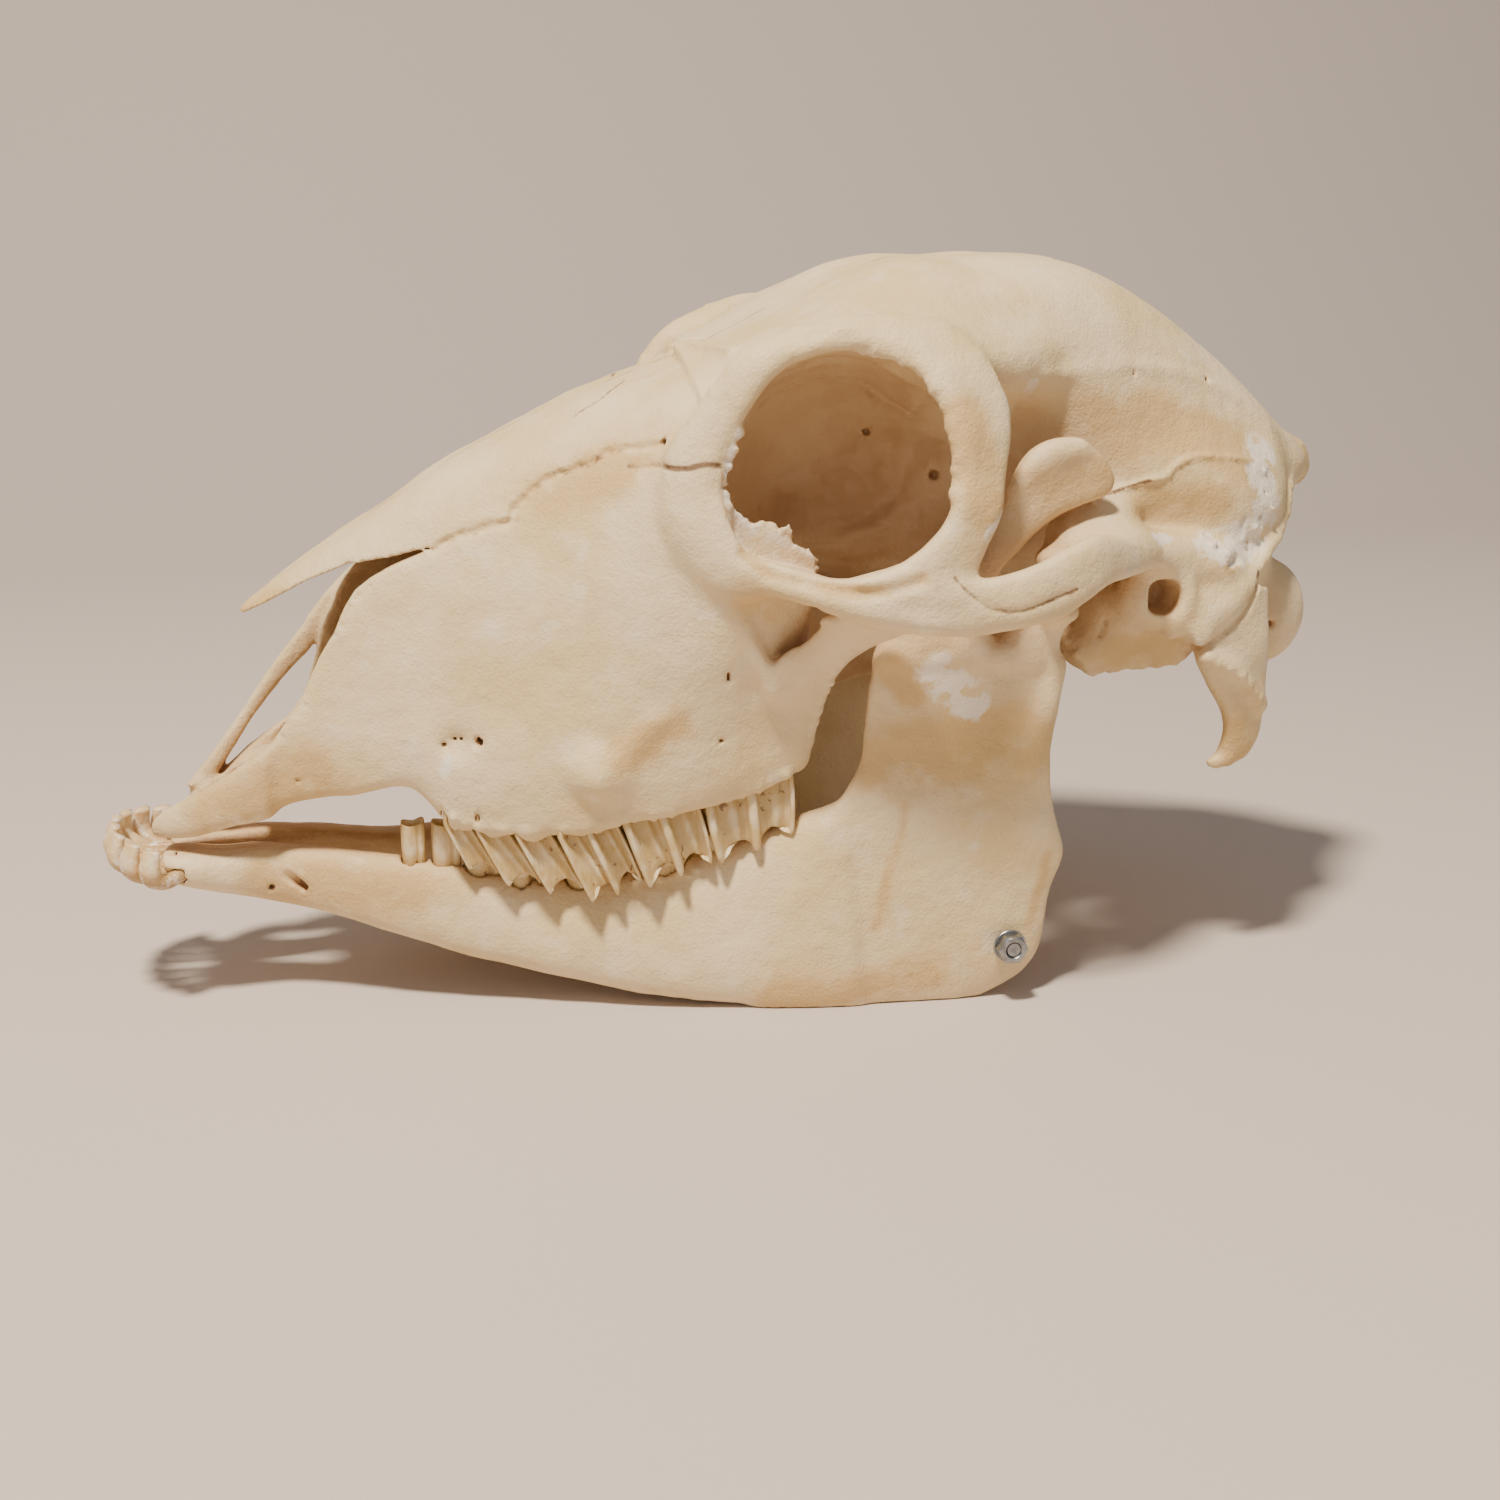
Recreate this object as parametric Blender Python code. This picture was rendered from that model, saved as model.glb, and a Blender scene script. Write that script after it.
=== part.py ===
"""Skull of a hornless sheep with both halves of its lower jaw, standing on the lower jaw.

The snout points along -X, the animal's left side faces -Y, and Z is up. Bones are drawn in millimetres, with
lateral distances positive and mirrored to both sides, and are scaled to metres as each object is made.
"""

import math

import bmesh
import bpy
from mathutils import Matrix, Vector

MM = 0.001  # metres in a millimetre

# Driving dimensions, in millimetres
CLEARANCE = 0.35  # between a tooth and its socket, and between a bone and the fixings
VOXEL = 1.25  # grid on which the masses of a bone are joined
BONE_WALL = 2.6  # thickness of the nasal and maxillary walls at the front
WALL_GROWTH = 0.02  # by which they thicken for each millimetre backwards
SOCKET_DEPTH = 5.0  # how far a cheek tooth is rooted in the jaw
ROD_RADIUS = 1.5
ROD_HALF_LENGTH = 47.6
ROD_X, ROD_Z = 47.2, 12.5  # where the rod crosses both jaw angles
WASHER_RADIUS, WASHER_THICKNESS = 3.4, 0.6
NUT_FLATS, NUT_HEIGHT = 5.5, 2.4
JAW_OUTER_FACE = 44.6  # lateral distance of the jaw's outer face at the rod
REST_LEVEL = 0.4  # the lower border of the jaw is worn flat up to this level
CRANIUM_TRIANGLES = 4200
JAW_TRIANGLES = 900

for old in list(bpy.data.objects):
    bpy.data.objects.remove(old, do_unlink=True)


def material(name, colour, roughness, metallic=0.0):
    made = bpy.data.materials.new(name)
    made.use_nodes = True
    shader = made.node_tree.nodes["Principled BSDF"]
    shader.inputs["Base Color"].default_value = (*colour, 1.0)
    shader.inputs["Roughness"].default_value = roughness
    shader.inputs["Metallic"].default_value = metallic
    return made


BONE = material("dry bone", (0.72, 0.60, 0.42), 0.62)
JAW_BONE = material("dry jaw bone", (0.70, 0.59, 0.42), 0.60)
ENAMEL = material("cheek tooth enamel", (0.66, 0.53, 0.34), 0.40)
INCISOR_ENAMEL = material("incisor enamel", (0.68, 0.48, 0.25), 0.38)
ZINC = material("zinc-plated steel", (0.55, 0.56, 0.57), 0.35, 1.0)


def spline(points, steps):
    """Points on a Catmull-Rom curve through the given points, which are tuples of any one length."""
    padded = [points[0], *points, points[-1]]
    out = []
    for i in range(1, len(padded) - 2):
        for s in range(steps):
            t = s / steps
            corners = padded[i - 1 : i + 3]
            weights = (
                -0.5 * t + t * t - 0.5 * t**3,
                1 - 2.5 * t * t + 1.5 * t**3,
                0.5 * t + 2 * t * t - 1.5 * t**3,
                -0.5 * t * t + 0.5 * t**3,
            )
            out.append(tuple(sum(w * c[k] for w, c in zip(weights, corners)) for k in range(len(points[0]))))
    out.append(tuple(points[-1]))
    return out


def skin(shape, rings, closed=False):
    """Faces over a row of rings of equal length, capped at both ends unless the row is closed."""
    rows = [[shape.verts.new(p) for p in ring] for ring in rings]
    count = len(rows[0])
    pairs = list(zip(rows, rows[1:] + rows[:1])) if closed else list(zip(rows, rows[1:]))
    faces = [
        shape.faces.new((one[k], one[(k + 1) % count], two[(k + 1) % count], two[k]))
        for one, two in pairs
        for k in range(count)
    ]
    if not closed:
        faces.append(shape.faces.new(rows[0][::-1]))
        faces.append(shape.faces.new(rows[-1]))
    bmesh.ops.recalc_face_normals(shape, faces=faces)


def mirrored(p, side):
    return Vector((p[0], p[1] * side, p[2]))


def blade(shape, stations, side=1, sides=12, steps=3, closed=False, fullness=0.75):
    """A plate or rod. Each station is one edge x, y, z, the other edge x, y, z, and half the thickness."""
    loop = spline(stations + stations[:1], steps)[:-1] if closed else spline(stations, steps)
    middles = [(mirrored(s[0:3], side) + mirrored(s[3:6], side)) / 2 for s in loop]
    rings = []
    for i, station in enumerate(loop):
        before = middles[i - 1] if (i > 0 or closed) else middles[i]
        after = middles[(i + 1) % len(loop)] if (i + 1 < len(loop) or closed) else middles[i]
        half = (mirrored(station[3:6], side) - mirrored(station[0:3], side)) / 2
        across = (after - before).cross(half).normalized()
        ring = []
        for k in range(sides):
            c, s = math.cos(math.tau * k / sides), math.sin(math.tau * k / sides)
            along = math.copysign(abs(c) ** fullness, c)
            out = math.copysign(abs(s) ** fullness, s)
            ring.append(middles[i] + half * along + across * station[6] * out)
        rings.append(ring)
    skin(shape, rings, closed)


def profile(shape, stations, steps=4, around=3):
    """A symmetrical body. Each station is x and half its section: pairs of half width and height."""
    flat = [(x, *(value for pair in section for value in pair)) for x, section in stations]
    rings = []
    for row in spline(flat, steps):
        pairs = [(row[k], row[k + 1]) for k in range(1, len(row), 2)]
        half = spline(pairs, around)
        right = [Vector((row[0], max(w, 0.0), z)) for w, z in half]
        left = [Vector((row[0], -p.y, p.z)) for p in right[-2:0:-1]]
        rings.append(right + left)
    skin(shape, rings)


def blob(shape, centre, radii, side=1):
    """An ellipsoid swelling."""
    found = bmesh.ops.create_icosphere(shape, subdivisions=3, radius=1.0)
    for vertex in found["verts"]:
        vertex.co = mirrored([c + r * v for c, r, v in zip(centre, radii, vertex.co)], side)
    faces = {face for vertex in found["verts"] for face in vertex.link_faces}
    bmesh.ops.recalc_face_normals(shape, faces=list(faces))


def prism(shape, outline, half_width):
    """A side outline of x, z points carried across the whole skull."""
    skin(shape, [[Vector((x, y, z)) for x, z in outline] for y in (-half_width, half_width)])


def object_of(name, shape):
    mesh = bpy.data.meshes.new(name)
    shape.to_mesh(mesh)
    shape.free()
    made = bpy.data.objects.new(name, mesh)
    bpy.context.scene.collection.objects.link(made)
    return made


def settle(made):
    """The object's modifiers made part of its mesh."""
    evaluated = made.evaluated_get(bpy.context.evaluated_depsgraph_get())
    mesh = bpy.data.meshes.new_from_object(evaluated)
    made.modifiers.clear()
    made.data = mesh


def fuse(made, smoothing):
    """Overlapping masses joined to one skin, with the creases between them eased."""
    remesh = made.modifiers.new("join", "REMESH")
    remesh.mode = "VOXEL"
    remesh.voxel_size = VOXEL
    ease = made.modifiers.new("ease", "SMOOTH")
    ease.factor = 0.5
    ease.iterations = smoothing
    settle(made)


def carve(made, cutters):
    """Each cutter taken out of the object in turn."""
    for cutter in cutters:
        tool = object_of("cutter", cutter)
        tool.hide_render = True
        tool.display_type = "WIRE"
        cut = made.modifiers.new("cut", "BOOLEAN")
        cut.operation = "DIFFERENCE"
        cut.solver = "EXACT"
        cut.object = tool
        settle(made)
        bpy.data.objects.remove(tool, do_unlink=True)


def thin(made, triangles):
    """Fewer and larger facets, where the surface is calm."""
    made.data.calc_loop_triangles()
    reduce = made.modifiers.new("thin", "DECIMATE")
    reduce.ratio = triangles / len(made.data.loop_triangles)
    settle(made)


def finish(made, surface, smooth_angle=50):
    made.data.materials.clear()
    made.data.materials.append(surface)
    made.data.shade_smooth()
    made.data.set_sharp_from_angle(angle=math.radians(smooth_angle))


# Face and nose: half sections from the midline of the nasal bones round to the midline of the palate
FACE = [
    (-101.5, [(0, 79.5), (2.5, 79.2), (7, 72), (10.5, 62), (12.5, 54),
              (13.5, 46), (12.4, 39.8), (6, 40.4), (0, 42)]),
    (-90, [(0, 88), (5, 87.3), (11, 80), (14.5, 68), (16.5, 58),
           (17.2, 49), (15.6, 43), (8, 43.8), (0, 46)]),
    (-80, [(0, 94.6), (8, 93.2), (14.5, 85), (17.5, 72), (19.2, 60),
           (20, 50), (18.5, 44.2), (10, 45.6), (0, 48.5)]),
    (-70, [(0, 100.8), (10, 99), (17, 90), (20.5, 76), (23, 62),
           (24, 53), (22, 46.4), (13, 47.4), (0, 49.5)]),
    (-62, [(0, 106.5), (11, 104.5), (18.5, 95), (23.5, 79), (26.5, 62),
           (28, 48), (25.5, 38.4), (16, 44.5), (0, 50.5)]),
    (-50, [(0, 112.8), (12, 110.8), (20.5, 103), (27, 85), (31.5, 64),
           (33, 48), (30, 37.4), (17.5, 43.5), (0, 52)]),
    (-36, [(0, 119.8), (13.5, 117.8), (24, 109), (32, 90), (36, 67),
           (37.2, 50), (34.5, 38.6), (19, 46), (0, 53.5)]),
    (-22, [(0, 124.8), (15, 123), (29.5, 115), (38.5, 97), (40.5, 74),
           (40, 56), (36.5, 41.4), (21, 49), (0, 55)]),
    (-10, [(0, 129), (17, 127.8), (34, 121.5), (42.5, 108), (45, 86),
           (41.5, 64), (37.5, 43.8), (22, 52), (0, 57)]),
    (1, [(0, 134.2), (20, 133.5), (36, 129), (46, 112), (47.5, 90),
         (37.5, 67), (36.5, 46.8), (22, 55), (0, 62)]),
    (7, [(0, 137.5), (20, 137), (37, 132.5), (46.5, 114), (48.5, 92),
         (36.5, 72), (35, 50.6), (22, 60), (0, 70)]),
]

# Frontal roof over both eye sockets
ROOF = [
    (-6, [(0, 130.5), (18, 130), (31, 127), (38, 122), (30, 116), (0, 112)]),
    (8, [(0, 138), (20, 137.5), (36, 136), (43, 131.5), (33, 124), (0, 112)]),
    (20, [(0, 144), (20, 143.5), (36, 139.5), (44.5, 133.5), (34, 126), (0, 110)]),
    (32, [(0, 147), (20, 146), (37, 139.5), (46, 130.5), (35, 122), (0, 105)]),
    (42, [(0, 146.6), (20, 145.8), (35, 138.5), (44.5, 128.2), (34, 117), (0, 100)]),
    (51, [(0, 147.6), (19, 146), (32, 137.5), (40, 127.8), (32, 115), (0, 95)]),
    (60, [(0, 147.5), (17, 145.5), (29, 137), (33.5, 127), (31, 112), (0, 95)]),
]

# Wall between the eye sockets
ORBIT_WALL = [
    (-10, [(0, 124), (21, 120), (22, 104), (20, 88), (0, 82)]),
    (6, [(0, 134), (16, 128), (15.5, 108), (14.5, 90), (0, 80)]),
    (20, [(0, 138), (17, 132), (16.5, 110), (15, 88), (0, 79)]),
    (34, [(0, 138), (23, 132), (21.5, 112), (17, 88), (0, 78)]),
    (46, [(0, 138), (28, 130), (27, 112), (21, 88), (0, 77)]),
]

# Braincase from behind the eye sockets to the back of the head
BRAINCASE = [
    (31, [(0, 143), (14, 142), (24, 137), (25, 128), (21, 116),
          (17, 104), (13, 93), (8, 85), (0, 81)]),
    (40, [(0, 146.4), (16, 146), (30, 141), (35, 131), (29, 118),
          (25, 104), (21, 90), (12, 81), (0, 78)]),
    (54, [(0, 147.6), (16, 146.8), (29, 141), (35.5, 129.5), (34, 116),
          (31, 102), (26, 88), (13, 79), (0, 76)]),
    (68, [(0, 146), (15, 144.8), (26, 138.5), (32, 127), (35, 113),
          (33, 99), (28, 86), (13, 77), (0, 74)]),
    (84, [(0, 138.3), (13, 137.3), (22, 131), (28, 122), (34, 108),
          (34, 96), (29, 84), (13, 74), (0, 70)]),
    (98, [(0, 128.7), (11, 127.8), (19, 122), (26, 113), (33.5, 102),
          (33, 91), (28, 82), (13, 71), (0, 67)]),
    (109, [(0, 119.3), (10, 118.5), (17.5, 114), (24, 105.5), (28, 97),
           (24.5, 88), (21, 79), (12, 69), (0, 65)]),
    (116, [(0, 113.6), (8, 112.4), (12.5, 108.6), (15, 103.6), (15, 99),
           (12, 94.5), (8, 91), (4, 89), (0, 88.4)]),
    (122.5, [(0, 108.6), (4, 108), (7.5, 105.8), (9.5, 103), (9, 100.8),
             (7.5, 99), (5.5, 98), (3, 97.4), (0, 97.2)]),
]

# Rim of an eye socket: inner edge, outer edge and half thickness, from the front over the top and round
ORBIT_RIM = [
    (-11.6, 42.4, 108.6, -19, 40.2, 107.5, 2.2),
    (-6.4, 43.2, 120.4, -13, 39, 123, 2.3),
    (0.8, 44.6, 128.6, -3.2, 39, 132, 2.5),
    (12.7, 47, 131.8, 13.5, 42, 136.5, 2.7),
    (22.6, 51, 129.2, 31, 45, 134.5, 2.8),
    (27.4, 55, 121.4, 40.5, 49.5, 123.2, 2.9),
    (29, 57, 110.8, 39.6, 54.5, 108.2, 2.9),
    (27.2, 58, 102, 37, 56.8, 98.5, 2.8),
    (20.5, 57, 95, 27, 56.5, 82.4, 2.8),
    (10.3, 54.5, 91.2, 12, 54, 82.6, 2.8),
    (0.9, 51, 92.8, -2, 49.5, 85.2, 2.8),
    (-8.6, 47, 96.4, -14.5, 43.5, 91, 2.7),
]
# Hollow of an eye socket: size against the rim, then how far out, back and down
ORBIT_DEPTHS = [
    (1.06, 16, 0, 0), (1.0, 0.5, 0, 0), (1.0, -9, 0.5, 1.5), (0.96, -19, 2.5, 4), (0.84, -28, 5, 6),
    (0.6, -34, 8, 8), (0.25, -37, 10, 9),
]

# Cheek bone, its arch and the shelf that carries the jaw joint: upper edge, lower edge, half thickness
ARCH = [
    (12, 55.5, 93, 10, 54, 83.5, 2.6),
    (22, 57.5, 93, 22, 56.5, 80.6, 2.6),
    (31, 58.5, 91, 30, 58, 80, 2.6),
    (38, 59, 91.6, 38, 58.8, 80.6, 2.5),
    (45, 59, 93.4, 45, 59, 81.8, 2.5),
    (51.5, 57.5, 95.8, 51, 58, 83, 2.6),
    (57.5, 54.5, 97.6, 57, 56, 86.6, 2.7),
    (63.5, 49.5, 96, 63.5, 51.5, 88, 2.8),
    (70.5, 43.5, 93.8, 70.5, 45, 87.6, 3.0),
    (80, 38, 91.4, 80, 38, 86.6, 3.0),
    (92, 36, 89.4, 92, 36, 85, 3.0),
]
JOINT_SHELF = [
    (54, 56, 92, 55.5, 43, 93, 2.4),
    (60, 54, 92, 60, 33, 94, 2.7),
    (68, 47, 91.5, 68, 30, 93, 2.8),
    (77, 41, 91, 77, 28, 91, 2.8),
    (87, 36, 89.5, 87, 28, 89.5, 2.8),
]

# Plate of the cheek bone and maxilla under the eye socket: front edge, back edge, half thickness
CHEEK = [
    (-5, 34, 50, 6.4, 34.8, 50.5, 2.0),
    (-5, 37, 60, 9.2, 36.5, 60, 2.0),
    (-3, 41, 68, 11.8, 39.5, 69, 2.2),
    (-1, 46, 77, 17, 44, 76, 2.4),
    (0, 50, 85, 26, 52.5, 82, 2.6),
]

# Paracondylar process: front edge, back edge, half thickness
PARACONDYLAR = [
    (90, 36, 82, 104, 32, 82, 3.4),
    (87.5, 37, 70, 104.6, 34, 70.5, 3.0),
    (90.6, 36, 63.3, 104.8, 33, 64, 2.7),
    (94.6, 35, 57, 105, 32.5, 57, 2.4),
    (96.3, 34, 52, 104.6, 32, 51, 2.1),
    (96, 33, 48, 102.4, 32, 46.3, 1.8),
    (94.8, 32.8, 45.6, 99, 32, 44.6, 1.5),
]
BROKEN_PROCESS_STATIONS = 5  # the right process has lost its tip

# Nuchal crest from the midline to the mastoid: outer edge, inner edge, half thickness
NUCHAL_CREST = [
    (124.5, 0.5, 104, 117, 0.5, 101, 3.0),
    (119, 9, 101.6, 110, 8, 99, 2.3),
    (115.6, 16, 99, 105, 13.5, 96, 2.1),
    (112.2, 22.5, 95.4, 100, 18.5, 93, 2.0),
    (108, 28, 91.6, 96, 23.5, 89, 2.0),
    (102.2, 33.6, 86.8, 91, 28.5, 85, 2.1),
    (94.6, 38.4, 80, 85, 32, 80, 2.2),
    (86.6, 39.8, 72.6, 81, 34, 75.5, 2.4),
]

# Pterygoid plate: upper edge, lower edge, half thickness
PTERYGOID = [
    (2, 16, 78, 1, 17, 60, 1.8),
    (18, 14, 80, 18, 15, 61, 1.7),
    (34, 12.5, 80, 36, 13.5, 65, 1.7),
    (48, 12, 79, 52, 12.5, 73, 1.7),
]
# Bar of the skull base along the midline: right edge, left edge, half thickness
BASE_BAR = [
    (6, -8, 84, 6, 8, 84, 5.0),
    (40, -9, 81, 40, 9, 81, 5.0),
    (72, -10, 75.5, 72, 10, 75.5, 4.8),
    (98, -12, 69, 98, 12, 69, 4.4),
    (111, -12, 67.5, 111, 12, 67.5, 4.2),
]

# Premaxilla ahead of the nose opening: upper edge, lower edge, half thickness
PREMAXILLA = [
    (-97, 13.4, 54, -98, 13.6, 40, 2.6),
    (-104, 12.2, 49.6, -105, 12.6, 37.7, 2.7),
    (-111, 10.3, 45, -112, 11.2, 35.7, 2.6),
    (-116.5, 7.8, 41.4, -117.5, 8.8, 34.8, 2.4),
    (-119.6, 5.2, 38.4, -120.6, 5.8, 34.6, 2.0),
]
PALATINE_PROCESS = [
    (-119, 1.6, 37.5, -119, 5.0, 37.5, 1.7),
    (-104, 1.3, 41.5, -104, 4.6, 41.5, 1.5),
    (-92, 1.0, 44.6, -92, 4.6, 44.6, 1.5),
    (-82, 0.8, 47, -82, 5, 47, 1.7),
]
# Nasal process of the right premaxilla, whose left fellow is lost: upper edge, lower edge, half thickness
NASAL_PROCESS = [
    (-115, 9.4, 40.5, -109, 10.6, 42, 1.4),
    (-108.7, 11, 47.8, -104.7, 11.8, 48, 1.1),
    (-102.1, 13, 56.6, -99, 13.6, 55.8, 1.1),
    (-95.1, 14.6, 65.7, -90.5, 15.4, 65.2, 1.1),
    (-88, 15.6, 74, -82.5, 16.6, 71.5, 1.2),
    (-83, 16, 79, -78, 17.4, 75, 1.3),
]
# Passage from the nose down to the throat: right edge, left edge, half height
THROAT_PASSAGE = [
    (-36, -8, 70, -36, 8, 70, 6),
    (-18, -9, 69, -18, 9, 69, 6.5),
    (-4, -9.5, 69.5, -4, 9.5, 69.5, 6.5),
    (14, -10, 72, 14, 10, 72, 6),
]
# Opening for the spinal cord: right edge, left edge, half height
FORAMEN_MAGNUM = [(132, -10, 80, 132, 10, 80, 9), (100, -9, 82, 100, 9, 82, 8), (88, -7, 84, 88, 7, 84, 6)]
# Passage of the ear and gap in the front of the palate: one edge, the other edge, half thickness
EAR_PASSAGE = [
    (78.6, 48, 85.6, 78.6, 48, 79, 2.8),
    (77, 36, 85.2, 77, 36, 79.4, 2.6),
    (76, 29, 84, 76, 29, 80.5, 1.8),
]
PALATINE_FISSURE = [(-108, 5.6, 20, -94, 7.2, 20, 2.6), (-108, 5.6, 80, -94, 7.2, 80, 2.6)]
# Side outline of the nose opening, which is cleared across the whole width
NOSE_OPENING = [
    (-63.9, 93.2), (-70.4, 91.6), (-79.7, 89.4), (-87.1, 86), (-91.7, 83.6), (-100.5, 79.2), (-104, 77.5),
    (-150, 70), (-150, 46), (-112.5, 45), (-106.2, 48), (-102.2, 50.5), (-96.1, 54.8), (-92.5, 60),
    (-90.6, 62.5), (-86.4, 71.8), (-83.2, 76.3), (-82, 79.5), (-80.8, 81.8), (-78.5, 85), (-74.8, 87.6),
    (-69.9, 90.2),
]

# Half of the lower jaw: upper edge, lower edge, half thickness
JAW_BODY = [
    (-119.6, 7, 32.4, -117, 6.9, 26, 5.6),
    (-114.5, 7.3, 32.6, -113, 7.2, 24.4, 6.8),
    (-107, 6.8, 32, -106, 6.7, 22.3, 6.1),
    (-98, 7.4, 32, -98, 7.4, 20.4, 4.8),
    (-87, 11, 31.8, -86, 11.5, 17.8, 4.4),
    (-75, 14.8, 30.9, -74, 16.5, 14.4, 4.6),
    (-64, 17, 29.5, -60, 20.5, 9.9, 5.0),
    (-50, 18.6, 26.2, -46, 24, 6.5, 5.6),
    (-36, 21.2, 25.8, -33, 28, 4, 6.0),
    (-22, 24.2, 28.2, -20, 31.5, 1.6, 6.1),
    (-8, 28, 33, -6, 34.5, 0.4, 5.9),
    (4, 32, 38.5, 6, 37, -0.4, 5.2),
    (14, 36, 43, 18, 39, -0.5, 4.4),
]
# Bone lost from the upper edge of the right half, where its first two premolars fell out in life
RIDGE_LOSS = [(-95, 0), (-84, 2.2), (-73, 4.2), (-64, 3), (-57, 0)]
LOST_TEETH = ("lower_premolar_2_right", "lower_premolar_3_right")
# Upright branch of the jaw: front edge, back edge, half thickness
JAW_BRANCH = [
    (-4, 36, 0.2, 43, 40, -0.2, 2.4),
    (-4, 36, 4.5, 51, 40.4, 4.5, 3.4),
    (-2, 36.2, 10, 54.8, 40.7, 9.5, 3.6),
    (0, 36.4, 16, 56, 40.9, 15, 3.5),
    (3, 36.8, 24, 57, 41.1, 22.5, 3.3),
    (6, 37.2, 33, 59.6, 41.4, 30.8, 3.1),
    (12, 38, 42.5, 57.4, 41.7, 38.6, 3.0),
    (16, 39, 51, 55.8, 42, 48.5, 2.8),
    (16.8, 40, 60, 55.6, 42.6, 60, 2.7),
    (17.7, 41, 68.5, 56, 43.2, 71, 2.7),
    (19.2, 42, 76, 54.8, 43.6, 76.5, 2.8),
]
CORONOID = [
    (18.6, 41.6, 72, 44, 43.4, 73, 2.7),
    (21, 42.4, 78, 41.5, 43.6, 79, 2.6),
    (28, 43.2, 83.5, 41, 43.6, 84, 2.5),
    (34, 43.5, 88.2, 43, 43.7, 89.4, 2.3),
    (38.2, 43.6, 94, 46.8, 43.7, 93.4, 2.3),
    (42.4, 43.5, 101, 51.6, 43.5, 97.4, 2.2),
    (46.4, 43.2, 108, 57.4, 43.2, 100.4, 2.1),
    (50.6, 42.8, 112.8, 62.4, 42.8, 101.6, 2.0),
    (57.4, 42.4, 114.2, 66, 42.4, 103, 1.8),
    (63.4, 42, 111.2, 67.2, 42, 106.2, 1.4),
]
JAW_NECK = [
    (38, 42.8, 71, 54.6, 43.8, 71, 2.8),
    (43, 43.4, 76.5, 55.8, 44.2, 76.5, 3.2),
    (48.5, 44, 81, 57.8, 44.6, 81, 3.6),
]

# Cheek teeth along the row: front and back ends, then inner and outer lateral distance
UPPER_TEETH = [
    ("premolar_2", -64.4, -58.5, 20.0, 26.0),
    ("premolar_3", -58.5, -51.0, 20.8, 29.0),
    ("premolar_4", -51.0, -43.0, 21.6, 31.6),
    ("molar_1", -43.0, -30.5, 22.4, 34.6),
    ("molar_2", -30.5, -14.2, 23.4, 36.6),
    ("molar_3", -14.2, 4.6, 24.6, 36.8),
]
LOWER_TEETH = [
    ("premolar_2", -72.4, -67.2, 13.4, 18.6),
    ("premolar_3", -66.4, -60.2, 14.0, 19.4),
    ("premolar_4", -60.2, -52.0, 14.6, 21.2),
    ("molar_1", -52.0, -40.5, 16.0, 23.6),
    ("molar_2", -40.5, -25.5, 18.2, 26.2),
    ("molar_3", -25.5, -3.5, 21.6, 30.0),
]
# Along the rows: height of the necks, of the outer edge of the upper tips, and its lateral distance
UPPER_NECK = [(-64, 39.6), (-52, 37.8), (-42, 38), (-34, 39.8), (-9, 44), (4, 48), (8, 50)]
UPPER_TIP = [(-61, 31.5), (-57, 29), (-48, 27), (-34, 25.8), (-23, 30), (-5, 34.6), (6, 38.6)]
UPPER_OUTER = [(-64, 26), (-50, 30.5), (-36, 34.6), (-22, 36.6), (6, 36.8)]
LOWER_NECK = [(-73, 31), (-64, 29.5), (-50, 26.2), (-36, 25.8), (-22, 28.2), (-8, 33)]
UPPER_LEAN = [(-64, 4.2), (-56, 6), (-40, 6), (-22, 3.4), (-7, 1.6), (4.6, 0)]  # of the tips, backwards
OCCLUSAL_TILT = 0.5  # drop of the chewing surface per millimetre outwards
OCCLUSAL_GAP = 1.2  # between the upper and lower chewing surfaces
FREE_CROWN_TOP = 36.9  # height of the first two lower premolars, which meet no upper tooth

# Incisors of one side from the midline out: crown x, y, half its width, its turn in degrees, and root y
INCISORS = [(-129.4, 2.9, 2.4, 8, 2.3), (-128.2, 8.1, 2.4, 24, 4.7), (-125.2, 12.6, 2.3, 43, 7.1),
            (-121.2, 15.6, 2.2, 62, 9.5)]
INCISOR_ROOT_X = -111.0
# Along an incisor: share of the way from root to crown, height, share of the crown's width, half thickness
INCISOR_PATH = [(0, 28.4, 0.45, 1.1), (0.4, 28.4, 0.55, 1.3), (0.72, 28.9, 0.75, 1.5), (0.94, 31, 0.95, 1.7),
                (1, 33.6, 1, 1.6), (0.94, 37, 0.85, 0.9)]


def nose_cavity():
    """The hollow of the nose, one wall inside the face."""
    stations = []
    for x, s in FACE[:7]:
        wall = BONE_WALL + WALL_GROWTH * (x - FACE[0][0])
        floor = s[8][1] + wall + 0.8
        inner = [(0, s[0][1] - wall), (max(s[1][0] - 1.2, 0.8), s[1][1] - wall)]
        inner += [(s[k][0] - wall, s[k][1] - 0.8) for k in (2, 3, 4)]
        inner += [(s[5][0] - 1.8 * wall, max(s[5][1], floor + 1)), (0, floor)]
        stations.append((x, inner))
    first, last = stations[0][1], stations[-1][1]
    middle = (last[0][1] + last[-1][1]) / 2
    stations.insert(0, (-128, [(w, z - 4) for w, z in first]))
    stations.append((-27, [(w * 0.6, middle + (z - middle) * 0.6) for w, z in last]))
    return stations


def orbit_cutter(side):
    """The hollow of an eye socket, from outside its rim to its apex."""
    rim = [Vector(p) for p in spline([s[:3] for s in ORBIT_RIM] + [ORBIT_RIM[0][:3]], 3)[:-1]]
    centre = sum(rim, Vector()) / len(rim)
    shape = bmesh.new()
    rings = []
    for scale, out, back, down in ORBIT_DEPTHS:
        offset = Vector((back, out, -down))
        rings.append([mirrored(centre + (p - centre) * scale + offset, side) for p in rim])
    skin(shape, rings)
    return shape


def bone_cutter(kind, *args, **options):
    shape = bmesh.new()
    kind(shape, *args, **options)
    return shape


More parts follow.
